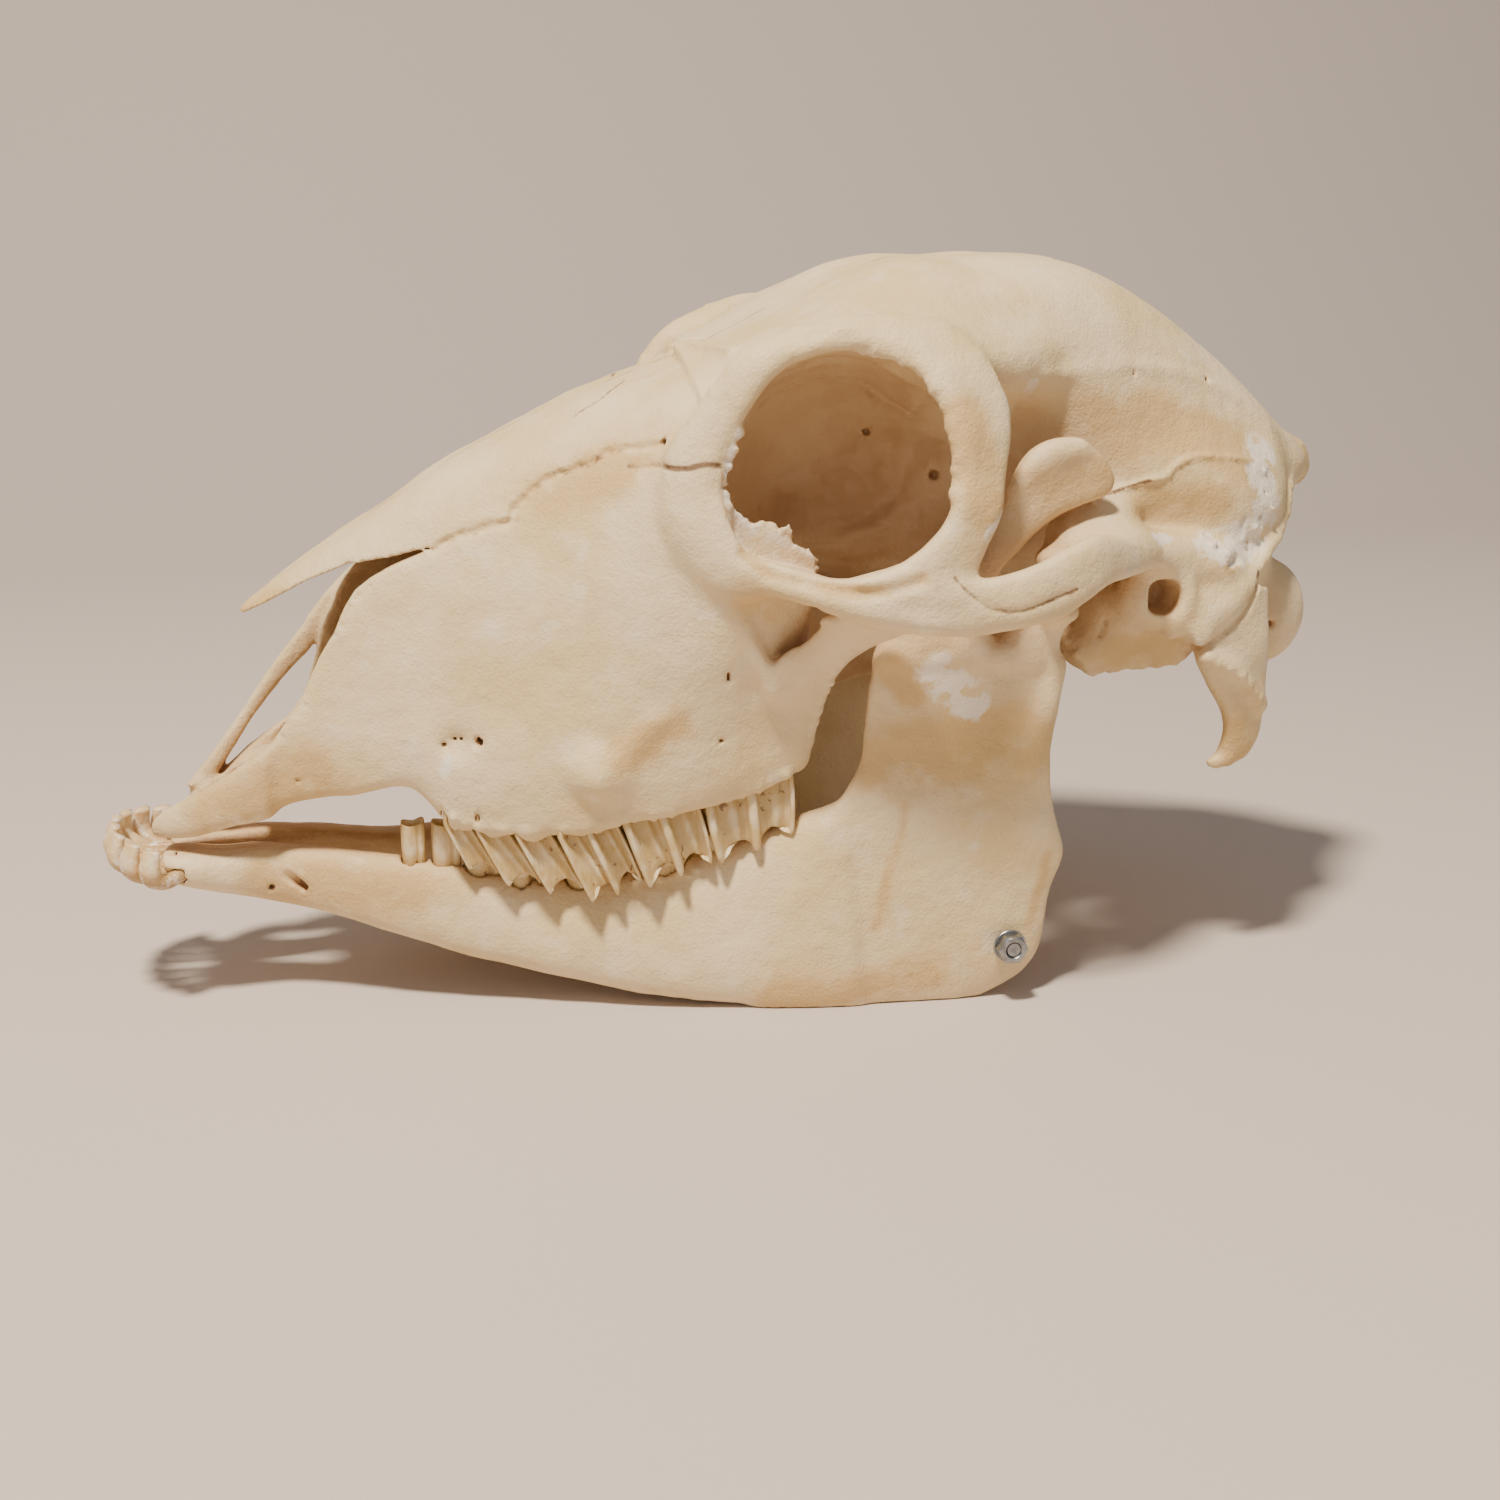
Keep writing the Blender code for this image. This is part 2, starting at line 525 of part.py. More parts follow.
def build_cranium():
    shape = bmesh.new()
    profile(shape, FACE)
    profile(shape, ROOF)
    profile(shape, ORBIT_WALL)
    profile(shape, BRAINCASE)
    blade(shape, BASE_BAR)
    blob(shape, (123.6, 0, 102.6), (4.4, 6.5, 4.2))
    for side in (-1, 1):
        blade(shape, ORBIT_RIM, side, closed=True)
        blade(shape, ARCH, side)
        blade(shape, JOINT_SHELF, side)
        blade(shape, CHEEK, side)
        blade(shape, PTERYGOID, side)
        blade(shape, NUCHAL_CREST, side)
        blade(shape, PREMAXILLA, side)
        blade(shape, PARACONDYLAR if side < 0 else PARACONDYLAR[:BROKEN_PROCESS_STATIONS], side)
        blob(shape, (112, 14.5, 73), (9.2, 9, 11.5), side)  # occipital condyle
        blob(shape, (79, 25, 74), (11.5, 9, 11.3), side)  # bulla
        blob(shape, (90, 33, 82), (11, 6.5, 11), side)  # mastoid
        blob(shape, (79, 36.5, 83), (8.5, 6, 8.5), side)  # ear opening
        blob(shape, (57.5, 45, 91), (7.5, 9.5, 3.4), side)  # jaw joint
        blob(shape, (-34, 36.5, 51.5), (6.5, 4.2, 5), side)  # facial tuber
    cranium = object_of("cranium", shape)
    fuse(cranium, 3)
    cutters = [bone_cutter(profile, nose_cavity()), bone_cutter(prism, NOSE_OPENING, 60)]
    cutters += [orbit_cutter(side) for side in (-1, 1)]
    cutters += [bone_cutter(blade, FORAMEN_MAGNUM), bone_cutter(blade, THROAT_PASSAGE)]
    for side in (-1, 1):
        cutters.append(bone_cutter(blade, EAR_PASSAGE, side))
        cutters.append(bone_cutter(blade, PALATINE_FISSURE, side))
    carve(cranium, cutters)
    shape = bmesh.new()
    shape.from_mesh(cranium.data)
    blade(shape, NASAL_PROCESS, 1)
    for side in (-1, 1):
        blade(shape, PALATINE_PROCESS, side)
    shape.to_mesh(cranium.data)
    shape.free()
    fuse(cranium, 1)
    thin(cranium, CRANIUM_TRIANGLES)
    return cranium


def row_value(table, x):
    """Value read from a table of x, value pairs."""
    for (x0, z0), (x1, z1) in zip(table, table[1:]):
        if x <= x1:
            break
    t = min(max((x - x0) / (x1 - x0), 0.0), 1.0)
    return z0 + (z1 - z0) * t


def build_jaw(side):
    shape = bmesh.new()
    body = JAW_BODY
    if side > 0:
        body = [(x, y, z - row_value(RIDGE_LOSS, x), *rest) for x, y, z, *rest in JAW_BODY]
    blade(shape, body, side, sides=14)
    blade(shape, JAW_BRANCH, side, sides=14)
    blade(shape, CORONOID, side)
    blade(shape, JAW_NECK, side)
    blob(shape, (53.6, 44.4, 82), (4.6, 9.2, 3.3), side)  # jaw condyle
    jaw = object_of("mandible_left" if side < 0 else "mandible_right", shape)
    fuse(jaw, 3)
    thin(jaw, JAW_TRIANGLES)
    return jaw


def chewing_height(x, y):
    """The sloping surface on which the cheek teeth meet."""
    return row_value(UPPER_TIP, x) + OCCLUSAL_TILT * (row_value(UPPER_OUTER, x) - y)


def tooth_outline(front, back, inner, outer):
    """A cheek tooth seen along its axis, with the groove between the lobes of a molar's outer side."""
    corner = 1.3
    outline = [(front, inner + corner), (front + corner, inner), (back - corner, inner)]
    outline += [(back, inner + corner), (back, outer - corner), (back - corner, outer)]
    if back - front > 10:
        middle = (front + back) / 2
        outline.append((middle, outer - 1.1))
    outline += [(front + corner, outer), (front, outer - corner)]
    return outline


def between(table, x, front, back):
    """Value at x on the straight line between a table's values at a tooth's two ends."""
    first, last = row_value(table, front), row_value(table, back)
    return first + (last - first) * (x - front) / (back - front)


def cheek_tooth(side, spec, upper):
    """A cheek tooth from its root to its chewing surface."""
    name, front, back, inner, outer = spec
    half_gap = CLEARANCE / 2
    outline = tooth_outline(front + half_gap, back - half_gap, inner, outer)
    rings = [[], [], []]
    for x, y in outline:
        if upper:
            neck, lean = between(UPPER_NECK, x, front, back), row_value(UPPER_LEAN, x)
            tip = chewing_height(x + lean, y)
            root = neck + SOCKET_DEPTH
        else:
            neck, lean = between(LOWER_NECK, x, front, back), 0.0
            free = name in ("premolar_2", "premolar_3")
            tip = FREE_CROWN_TOP if free else chewing_height(x, y) - OCCLUSAL_GAP
            root = neck - SOCKET_DEPTH
        rings[0].append(mirrored((x, y, root), side))
        rings[1].append(mirrored((x, y, neck), side))
        rings[2].append(mirrored((x + lean, y, tip), side))
    shape = bmesh.new()
    skin(shape, rings)
    return shape


def socket(side, spec, upper):
    """The square socket that holds a cheek tooth, open past the edge of the jaw."""
    _, front, back, inner, outer = spec
    half_gap = CLEARANCE / 2
    corners = [(front - half_gap, inner - CLEARANCE), (back + half_gap, inner - CLEARANCE)]
    corners += [(back + half_gap, outer + CLEARANCE), (front - half_gap, outer + CLEARANCE)]
    up = 1 if upper else -1
    table = UPPER_NECK if upper else LOWER_NECK
    rings = []
    for depth in (SOCKET_DEPTH + CLEARANCE, -5.0):
        heights = [between(table, x, front, back) + up * depth for x, _ in corners]
        rings.append([mirrored((x, y, z), side) for (x, y), z in zip(corners, heights)])
    shape = bmesh.new()
    skin(shape, rings)
    return shape


def incisor(side, spec, grow=0.0):
    """A spoon-shaped incisor, or with some growth its socket, which reaches deeper and ends at the neck."""
    crown_x, crown_y, width, turn, root_y = spec
    stations = []
    for share, z, wide, thick in INCISOR_PATH[:4] if grow else INCISOR_PATH:
        angle = math.radians(turn) * share
        x = INCISOR_ROOT_X + (crown_x - INCISOR_ROOT_X) * share
        if not share:
            x += 2 * grow
        y = root_y + (crown_y - root_y) * share
        dx, dy = (width * wide + grow) * math.sin(angle), (width * wide + grow) * math.cos(angle)
        stations.append((x - dx, y - dy, z, x + dx, y + dy, z, thick + grow))
    shape = bmesh.new()
    blade(shape, stations, side, sides=6, steps=1, fullness=0.9)
    return shape


def turned(name, radii, y0, y1, sides, surface, flats=0):
    """A disc, ring or hexagon on the rod's axis, between two lateral distances."""
    shape = bmesh.new()
    rows = []
    for y, radius in ((y0, radii[0]), (y1, radii[0]), (y1, radii[1]), (y0, radii[1])):
        if not radius:
            continue
        row = []
        for k in range(sides):
            a = math.tau * k / sides
            r = radius
            if flats and radius == radii[0]:
                sector = math.tau / flats
                r = radius * math.cos(sector / 2) / math.cos((a % sector) - sector / 2)
            row.append(Vector((ROD_X + r * math.cos(a), y, ROD_Z + r * math.sin(a))))
        rows.append(row)
    skin(shape, rows, closed=len(rows) > 2)
    made = object_of(name, shape)
    finish(made, surface, 35)
    return made


def stand_centred():
    """Every object scaled to metres and moved so that the skull stands on the middle of its own footprint."""
    corners = [v.co for made in bpy.data.objects for v in made.data.vertices]
    low = Vector([min(c[k] for c in corners) for k in range(3)])
    high = Vector([max(c[k] for c in corners) for k in range(3)])
    centre = Vector(((low.x + high.x) / 2, (low.y + high.y) / 2, low.z))
    for made in bpy.data.objects:
        for vertex in made.data.vertices:
            vertex.co = (vertex.co - centre) * MM


cranium = build_cranium()
jaws = {side: build_jaw(side) for side in (-1, 1)}
for side, word in ((-1, "left"), (1, "right")):
    for upper, row, teeth in ((True, "upper", UPPER_TEETH), (False, "lower", LOWER_TEETH)):
        kept = [spec for spec in teeth if f"{row}_{spec[0]}_{word}" not in LOST_TEETH]
        for spec in kept:
            finish(object_of(f"{row}_{spec[0]}_{word}", cheek_tooth(side, spec, upper)), ENAMEL, 40)
        carve(cranium if upper else jaws[side], [socket(side, spec, upper) for spec in kept])
    for number, spec in enumerate(INCISORS, 1):
        finish(object_of(f"incisor_{number}_{word}", incisor(side, spec)), INCISOR_ENAMEL, 60)
    carve(jaws[side], [incisor(side, spec, CLEARANCE) for spec in INCISORS])
    rod_hole = bmesh.new()
    hole_radius = ROD_RADIUS + CLEARANCE
    sizes = {"segments": 12, "radius1": hole_radius, "radius2": hole_radius, "depth": 30}
    bmesh.ops.create_cone(rod_hole, cap_ends=True, **sizes)
    across = Matrix.Translation((ROD_X, side * 40, ROD_Z)) @ Matrix.Rotation(math.pi / 2, 4, "X")
    bmesh.ops.transform(rod_hole, verts=rod_hole.verts, matrix=across)
    worn = bone_cutter(prism, [(-200, -20), (-200, REST_LEVEL), (200, REST_LEVEL), (200, -20)], 90)
    carve(jaws[side], [rod_hole, worn])
    finish(jaws[side], JAW_BONE)
    face, far_face = JAW_OUTER_FACE * side, (JAW_OUTER_FACE + WASHER_THICKNESS) * side
    turned(f"washer_{word}", (WASHER_RADIUS, ROD_RADIUS + CLEARANCE), face, far_face, 16, ZINC)
    nut, far_nut = far_face + 0.15 * side, far_face + (0.15 + NUT_HEIGHT) * side
    corner = NUT_FLATS / 2 / math.cos(math.pi / 6)
    turned(f"nut_{word}", (corner, ROD_RADIUS + CLEARANCE), nut, far_nut, 12, ZINC, flats=6)
finish(cranium, BONE)
turned("threaded_rod", (ROD_RADIUS, 0), -ROD_HALF_LENGTH, ROD_HALF_LENGTH, 12, ZINC)
stand_centred()
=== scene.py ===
"""Dry skull of a hornless sheep standing on its lower jaw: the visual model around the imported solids."""
import math

import bpy
import numpy as np
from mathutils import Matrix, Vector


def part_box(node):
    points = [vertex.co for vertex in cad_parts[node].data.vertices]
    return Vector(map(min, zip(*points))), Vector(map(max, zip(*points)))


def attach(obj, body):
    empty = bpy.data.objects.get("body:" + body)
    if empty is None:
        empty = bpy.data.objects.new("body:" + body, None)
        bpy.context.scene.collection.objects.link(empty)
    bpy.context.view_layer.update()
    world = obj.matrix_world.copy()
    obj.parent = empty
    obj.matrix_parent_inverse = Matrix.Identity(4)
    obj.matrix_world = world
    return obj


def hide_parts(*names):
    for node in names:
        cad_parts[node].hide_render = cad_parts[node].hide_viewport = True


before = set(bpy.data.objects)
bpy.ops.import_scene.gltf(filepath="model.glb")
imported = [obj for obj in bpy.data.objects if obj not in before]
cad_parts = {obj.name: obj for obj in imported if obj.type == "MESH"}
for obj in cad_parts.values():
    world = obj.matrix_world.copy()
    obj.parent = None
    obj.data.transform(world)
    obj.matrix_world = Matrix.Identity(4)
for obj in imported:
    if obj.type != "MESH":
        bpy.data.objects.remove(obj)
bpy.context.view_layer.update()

import openvdb as vdb
from mathutils import Vector
from mathutils.bvhtree import BVHTree

# ---- Cheek teeth -------------------------------------------------------------------------------------------
# Twenty-two grazing teeth, each loose in its socket; two more fell out of the right side in life. They are
# tall columns of aged enamel, worn to slanting edges where the rows meet, with raised white ribs on the outer
# side of the upper ones.

MM = 0.001
ROD_X, ROD_Z = 47.2, 12.5  # millimetres, in the frame in which the skull was measured
rod_low, rod_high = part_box("threaded_rod")
SHIFT = (np.array(rod_low) + np.array(rod_high)) / 2 / MM - (ROD_X, 0, ROD_Z)


def spline(points, steps):
    """Points on a smooth curve through the given rows of numbers."""
    p = np.asarray(points, float)
    p = np.vstack([p[:1], p, p[-1:]])
    t = (np.arange(steps) / steps)[:, None]
    runs = [
        0.5 * (2 * b + (c - a) * t + (2 * a - 5 * b + 4 * c - d) * t**2 + (3 * b - a - 3 * c + d) * t**3)
        for a, b, c, d in zip(p, p[1:], p[2:], p[3:])
    ]
    return np.vstack(runs + [p[-2:-1]])


def loop(points, steps):
    """Points on a smooth closed curve."""
    p = np.asarray(points, float)
    return spline(np.vstack([p[-1:], p, p[:2]]), steps)[steps:-steps - 1]


def volume(points, faces):
    """Six times the volume that triangles or quads enclose, negative when they face inwards."""
    f = np.asarray(faces)
    return sum(
        np.einsum("ij,ij->", np.cross(points[f[:, k]], points[f[:, k + 1]]), points[f[:, 0]])
        for k in range(1, f.shape[1] - 1)
    )


def loft(rings, closed=False):
    """Points and outward triangles of a skin over rings of equal length, with end caps unless closed."""
    rings = np.asarray(rings, float)
    rows, count = rings.shape[:2]
    i = np.arange(rows if closed else rows - 1)[:, None]
    k = np.arange(count)[None]
    a, b = i * count + k, i * count + (k + 1) % count
    c, d = (i + 1) % rows * count + (k + 1) % count, (i + 1) % rows * count + k
    faces = [np.stack(f, -1).reshape(-1, 3) for f in ((a, b, c), (a, c, d))]
    points = rings.reshape(-1, rings.shape[2])
    if not closed:
        n = len(points)
        points = np.vstack([points, rings[0].mean(0), rings[-1].mean(0)])
        faces.append(np.stack([b[0], a[0], np.full(count, n)], -1))
        faces.append(np.stack([d[-1], c[-1], np.full(count, n + 1)], -1))
    faces = np.vstack(faces)
    return points, faces if volume(points[:, :3], faces) > 0 else faces[:, ::-1]


def mesh_of(name, points, faces, edges=(), **values):
    """A smooth object in metres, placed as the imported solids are, with values for its points by name."""
    mesh = bpy.data.meshes.new(name)
    mesh.from_pydata(((np.asarray(points) + SHIFT) * MM).tolist(), list(edges), np.asarray(faces).tolist())
    mesh.shade_smooth()
    for key, column in values.items():
        mesh.attributes.new(key, "FLOAT", "POINT").data.foreach_set("value", np.asarray(column, np.float32))
    made = bpy.data.objects.new(name, mesh)
    bpy.context.scene.collection.objects.link(made)
    return made


def colour(code):
    """The linear colour of an sRGB hex code."""
    parts = [int(code[k:k + 2], 16) / 255 for k in (0, 2, 4)]
    return (*(p / 12.92 if p <= 0.04045 else ((p + 0.055) / 1.055) ** 2.4 for p in parts), 1.0)


def node(tree, kind, settings=None, out=None, **inputs):
    """A result of a new node, with its settings and with a value or another result on each input.

    An input goes by its name in small letters, or by its place among the inputs in use, as in_1.
    """
    made = tree.nodes.new(kind)
    for key, value in (settings or {}).items():
        setattr(made, key, value)
    ready = [s for s in made.inputs if s.enabled]
    for key, value in inputs.items():
        named = [s for s in ready if s.name.replace(" ", "_").lower() == key]
        socket = named[0] if named else ready[int(key.split("_")[1])]
        if isinstance(value, bpy.types.NodeSocket):
            tree.links.new(value, socket)
        else:
            socket.default_value = colour(value) if isinstance(value, str) else value
    if out:
        return made.outputs[out]
    results = [s for s in made.outputs if s.enabled]
    return results[0] if results else made


def surface(name, roughness, **values):
    """A new material's tree and shader with fixed values, and the object's own coordinates."""
    made = bpy.data.materials.new(name)
    made.use_nodes = True
    tree = made.node_tree
    shader = tree.nodes["Principled BSDF"]
    shader.inputs["Roughness"].default_value = roughness
    for key, value in values.items():
        shader.inputs[key.replace("_", " ")].default_value = value
    return made, tree, shader, node(tree, "ShaderNodeTexCoord", out="Object")


def patches(tree, place, size, low, high, top=1.0, stretch=(1, 1, 1)):
    """Cloudy patches about as large as a size in millimetres: 0 below low, rising to top at high."""
    place = node(tree, "ShaderNodeMapping", vector=place, scale=stretch)
    cloud = node(tree, "ShaderNodeTexNoise", vector=place, scale=1 / size / MM, detail=4.0, roughness=0.55)
    return node(tree, "ShaderNodeMapRange", {"interpolation_type": "SMOOTHSTEP"}, value=cloud, from_min=low,
                from_max=high, to_max=top)


def marked(tree, name, low, high, top=1.0, broken_by=1.0):
    """How far a piece's own value, broken up by the given patches, has risen from low to high."""
    value = node(tree, "ShaderNodeAttribute", {"attribute_name": name}, "Fac")
    value = node(tree, "ShaderNodeMath", {"operation": "MULTIPLY"}, in_0=value, in_1=broken_by)
    return node(tree, "ShaderNodeMapRange", {"interpolation_type": "SMOOTHSTEP"}, value=value, from_min=low,
                from_max=high, to_max=top)


def layered(tree, tint, *coats):
    """Colours laid over one another, each by a share from 0 to 1."""
    for over, share in coats:
        tint = node(tree, "ShaderNodeMix", {"data_type": "RGBA"}, factor=share, a=tint, b=over)
    return tint


# Cheek teeth along the row: front and back ends, then inner and outer lateral distance
UPPER_TEETH = [
    ("premolar_2", -64.4, -58.5, 20.0, 26.0),
    ("premolar_3", -58.5, -51.0, 20.8, 29.0),
    ("premolar_4", -51.0, -43.0, 21.6, 31.6),
    ("molar_1", -43.0, -30.5, 22.4, 34.6),
    ("molar_2", -30.5, -14.2, 23.4, 36.6),
    ("molar_3", -14.2, 4.6, 24.6, 36.8),
]
LOWER_TEETH = [
    ("premolar_2", -72.4, -67.2, 13.4, 18.6),
    ("premolar_3", -66.4, -60.2, 14.0, 19.4),
    ("premolar_4", -60.2, -52.0, 14.6, 21.2),
    ("molar_1", -52.0, -40.5, 16.0, 23.6),
    ("molar_2", -40.5, -25.5, 18.2, 26.2),
    ("molar_3", -25.5, -3.5, 21.6, 30.0),
]
# Along the rows: height of the necks, then height, lateral distance and lean of the upper teeth's outer tips
UPPER_NECK = [(-64, 39.6), (-52, 37.8), (-42, 38), (-34, 39.8), (-9, 44), (4, 48), (8, 50)]
UPPER_TIP = [(-61, 31.5), (-57, 29), (-48, 27), (-34, 25.8), (-23, 30), (-5, 34.6), (6, 38.6)]
UPPER_OUTER = [(-64, 26), (-50, 30.5), (-36, 34.6), (-22, 36.6), (6, 36.8)]
UPPER_LEAN = [(-64, 4.2), (-56, 6), (-40, 6), (-22, 3.4), (-7, 1.6), (4.6, 0)]
LOWER_NECK = [(-73, 31), (-64, 29.5), (-50, 26.2), (-36, 25.8), (-22, 28.2), (-8, 33)]
LOST_TEETH = ("lower_premolar_2_right", "lower_premolar_3_right")
ROOT, GAP = 5.0, 0.35  # how far a tooth is rooted, and the room round it
CHEWING_TILT, CHEWING_GAP = 0.5, 1.2  # slope across the worn tips, and the room between the two rows
FREE_TOP = 37.6  # height of the lower premolars that meet no upper tooth
MOLAR_RIBS, PREMOLAR_RIBS = (0.05, 0.52, 0.97), (0.1, 0.93)  # shares of a tooth's length
# Outlines seen along a tooth: share of its length, share of its width from the inner side, and brown stain
UPPER_MOLAR = [
    (0.02, 0.7, 0.6), (0, 0.86, 0.3), (0.012, 1.02, 0), (0.075, 1.05, 0), (0.125, 0.92, 0.7),
    (0.2, 0.88, 0.9), (0.29, 0.93, 0.4), (0.37, 0.88, 0.9), (0.44, 0.91, 0.6), (0.468, 1.05, 0),
    (0.552, 1.06, 0), (0.582, 0.91, 0.7), (0.68, 0.87, 0.9), (0.77, 0.93, 0.4), (0.86, 0.89, 0.9),
    (0.938, 0.9, 0.6), (0.95, 1, 0), (0.992, 1, 0.1), (1, 0.86, 0.4), (0.985, 0.6, 0.7), (0.96, 0.3, 0.5),
    (0.86, 0.05, 0.3), (0.74, 0, 0.2), (0.62, 0.06, 0.4), (0.52, 0.25, 0.9), (0.42, 0.06, 0.4),
    (0.3, -0.01, 0.2), (0.16, 0.04, 0.3), (0.06, 0.28, 0.5),
]
UPPER_PREMOLAR = [
    (0.02, 0.7, 0.6), (0, 0.86, 0.3), (0.03, 1, 0), (0.12, 1.02, 0), (0.2, 0.93, 0.6), (0.36, 0.9, 0.8),
    (0.5, 0.94, 0.4), (0.66, 0.9, 0.8), (0.84, 0.89, 0.6), (0.93, 0.98, 0.1), (1, 0.82, 0.4),
    (0.98, 0.5, 0.6), (0.88, 0.15, 0.4), (0.62, 0, 0.2), (0.38, 0, 0.2), (0.12, 0.15, 0.4),
]
LOWER_MOLAR = [
    (0, 0.5, 0.6), (0.04, 0.8, 0.4), (0.14, 0.97, 0.2), (0.26, 1, 0.1), (0.38, 0.93, 0.3), (0.49, 0.68, 0.95),
    (0.6, 0.93, 0.3), (0.72, 1, 0.1), (0.85, 0.95, 0.2), (0.96, 0.78, 0.4), (1, 0.5, 0.6), (0.98, 0.2, 0.5),
    (0.95, 0.02, 0.1), (0.88, 0.1, 0.6), (0.75, 0.06, 0.7), (0.62, 0.1, 0.7), (0.52, 0, 0.1),
    (0.46, 0.02, 0.1), (0.38, 0.1, 0.7), (0.25, 0.06, 0.7), (0.12, 0.1, 0.6), (0.05, 0, 0.1),
    (0.01, 0.2, 0.5),
]
LOWER_PREMOLAR = [
    (0, 0.5, 0.6), (0.05, 0.82, 0.4), (0.18, 0.98, 0.1), (0.4, 1, 0.1), (0.58, 0.93, 0.4), (0.68, 0.86, 0.8),
    (0.8, 0.93, 0.3), (0.95, 0.82, 0.4), (1, 0.45, 0.6), (0.96, 0.1, 0.4), (0.8, 0, 0.2), (0.55, 0.08, 0.7),
    (0.3, 0, 0.2), (0.08, 0.12, 0.4),
]


def read(table, x):
    """Value at x in a table of x and value."""
    return np.interp(x, *zip(*table))


def between(table, x, front, back):
    """Value at x on the straight line between a table's values at a tooth's two ends."""
    first, last = read(table, front), read(table, back)
    return first + (last - first) * (x - front) / (back - front)


def chewing_height(x, y):
    """The sloping surface on which the cheek teeth meet."""
    return read(UPPER_TIP, x) + CHEWING_TILT * (read(UPPER_OUTER, x) - y)


def cheek_tooth(spec, upper):
    """Points with their stain, and faces, of a left or right tooth drawn on the positive side."""
    name, front, back, inner, outer = spec
    front, back, molar = front + GAP / 2, back - GAP / 2, name.startswith("molar")
    plans = {(1, 1): UPPER_MOLAR, (1, 0): UPPER_PREMOLAR, (0, 1): LOWER_MOLAR, (0, 0): LOWER_PREMOLAR}
    along, across, stain = loop(plans[upper, molar], 3).T
    x, y = front + (back - front) * along, inner + (outer - inner) * across
    mid_x, mid_y = (front + back) / 2, (inner + outer) / 2
    ribs, reach = (MOLAR_RIBS, 0.22) if molar else (PREMOLAR_RIBS, 0.42)
    notch = np.min([np.abs(along - rib) for rib in ribs], 0) / reach
    if upper:
        neck, lean = between(UPPER_NECK, x, front, back), read(UPPER_LEAN, x)
        wear = np.clip((across - 0.6) / 0.3, 0, 1) * (2.4 * np.clip(notch, 0, 1) - 1.3)
        tip = chewing_height(x + lean, y) + wear
        root = neck + ROOT
    else:
        neck, lean = between(LOWER_NECK, x, front, back), 0 * x
        free = name in ("premolar_2", "premolar_3")
        tip = FREE_TOP + 0.3 * np.cos(along * 5 + 1) if free else chewing_height(x, y) - CHEWING_GAP
        root = neck - ROOT
    rings = []
    for share, size, dark in (
        (-1, 0.8, 0.7), (-0.6, 0.86, 0.7), (-0.2, 0.91, 0.8), (0, 0.93, 0.8), (0.12, 0.955, 0.45),
        (0.28, 0.98, 0.1), (0.45, 1, 0), (0.62, 1, 0), (0.78, 0.99, 0.1), (0.9, 0.98, 0.3), (0.97, 0.96, 0.3),
        (1, 0.93, 0.1),
    ):
        z = neck + (tip - neck) * share if share >= 0 else neck + (root - neck) * -share
        width = size * (mid_y + (y - mid_y)) + (1 - size) * mid_y
        length = mid_x + (x - mid_x) * (0.5 + size / 2) + lean * max(share, 0)
        rings.append(np.column_stack([length, width, z, np.clip(stain * 0.9 + dark, 0, 1)]))
    up = 1 if upper else -1
    for size, deep, dark in ((0.8, 0.25, 0.1), (0.7, 0.9, 0.6), (0.4, 0.6, 0.8), (0.2, 1.3, 1.0)):
        level = tip + (tip.mean() - tip) * (1 - size) + up * deep
        rings.append(np.column_stack([mid_x + (x - mid_x) * size + lean, mid_y + (y - mid_y) * size, level,
                                      0 * x + dark]))
    return loft(rings)


def mirrored(shape, side):
    """A shape on the positive side, or reflected to the negative side."""
    points, faces = shape
    if side > 0:
        return points, faces
    return points * [1, -1, 1, 1][:points.shape[1]], faces[:, ::-1]


def placed(piece, finish, solid):
    """A finished piece in its material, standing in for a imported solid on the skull's one body."""
    piece.data.materials.append(finish)
    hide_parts(solid)
    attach(piece, "root")


# Aged enamel, hard and dense: a satin shine, cream where it was rubbed clean, tan in the grooves, a few
# brown spots. Its growth lines run along the crown, under a tenth of a millimetre apart, and are drawn 0.9 mm
# apart.
enamel, tree, shader, place = surface("aged_enamel", 0.42, IOR=1.62, Subsurface_Weight=0.08,
                                      Subsurface_Scale=0.001)
speck = patches(tree, place, 1.8, 0.5, 0.75)
tint = layered(
    tree, "e9d6ae", ("d2b474", patches(tree, place, 4, 0.35, 0.65, 0.9)),
    ("c8a868", marked(tree, "stain", 0.3, 0.95, 0.75)),
    ("7a4c24", marked(tree, "stain", 0.36, 0.75, 0.85, speck)),
)
tree.links.new(tint, shader.inputs["Base Color"])
lines = patches(tree, place, 0.9, 0.3, 0.7, stretch=(1, 1, 0.15))
relief = node(tree, "ShaderNodeBump", height=lines, distance=0.00012, strength=1.0)
tree.links.new(relief, shader.inputs["Normal"])

teeth = {}
for upper, row, specs in ((True, "upper", UPPER_TEETH), (False, "lower", LOWER_TEETH)):
    for spec in specs:
        teeth[row, spec[0]] = cheek_tooth(spec, upper)
        for side, word in ((-1, "left"), (1, "right")):
            name = f"{row}_{spec[0]}_{word}"
            if name not in LOST_TEETH:
                points, faces = mirrored(teeth[row, spec[0]], side)
                tooth = mesh_of(f"ribbed_{name}", points[:, :3], faces, stain=points[:, 3])
                placed(tooth, enamel, name)

# ---- Incisors ----------------------------------------------------------------------------------------------
# Eight lower front teeth in a fan, spoon-shaped crowns on long roots set in the chin. Their enamel has aged
# to a warm orange cream, whiter where it has flaked.


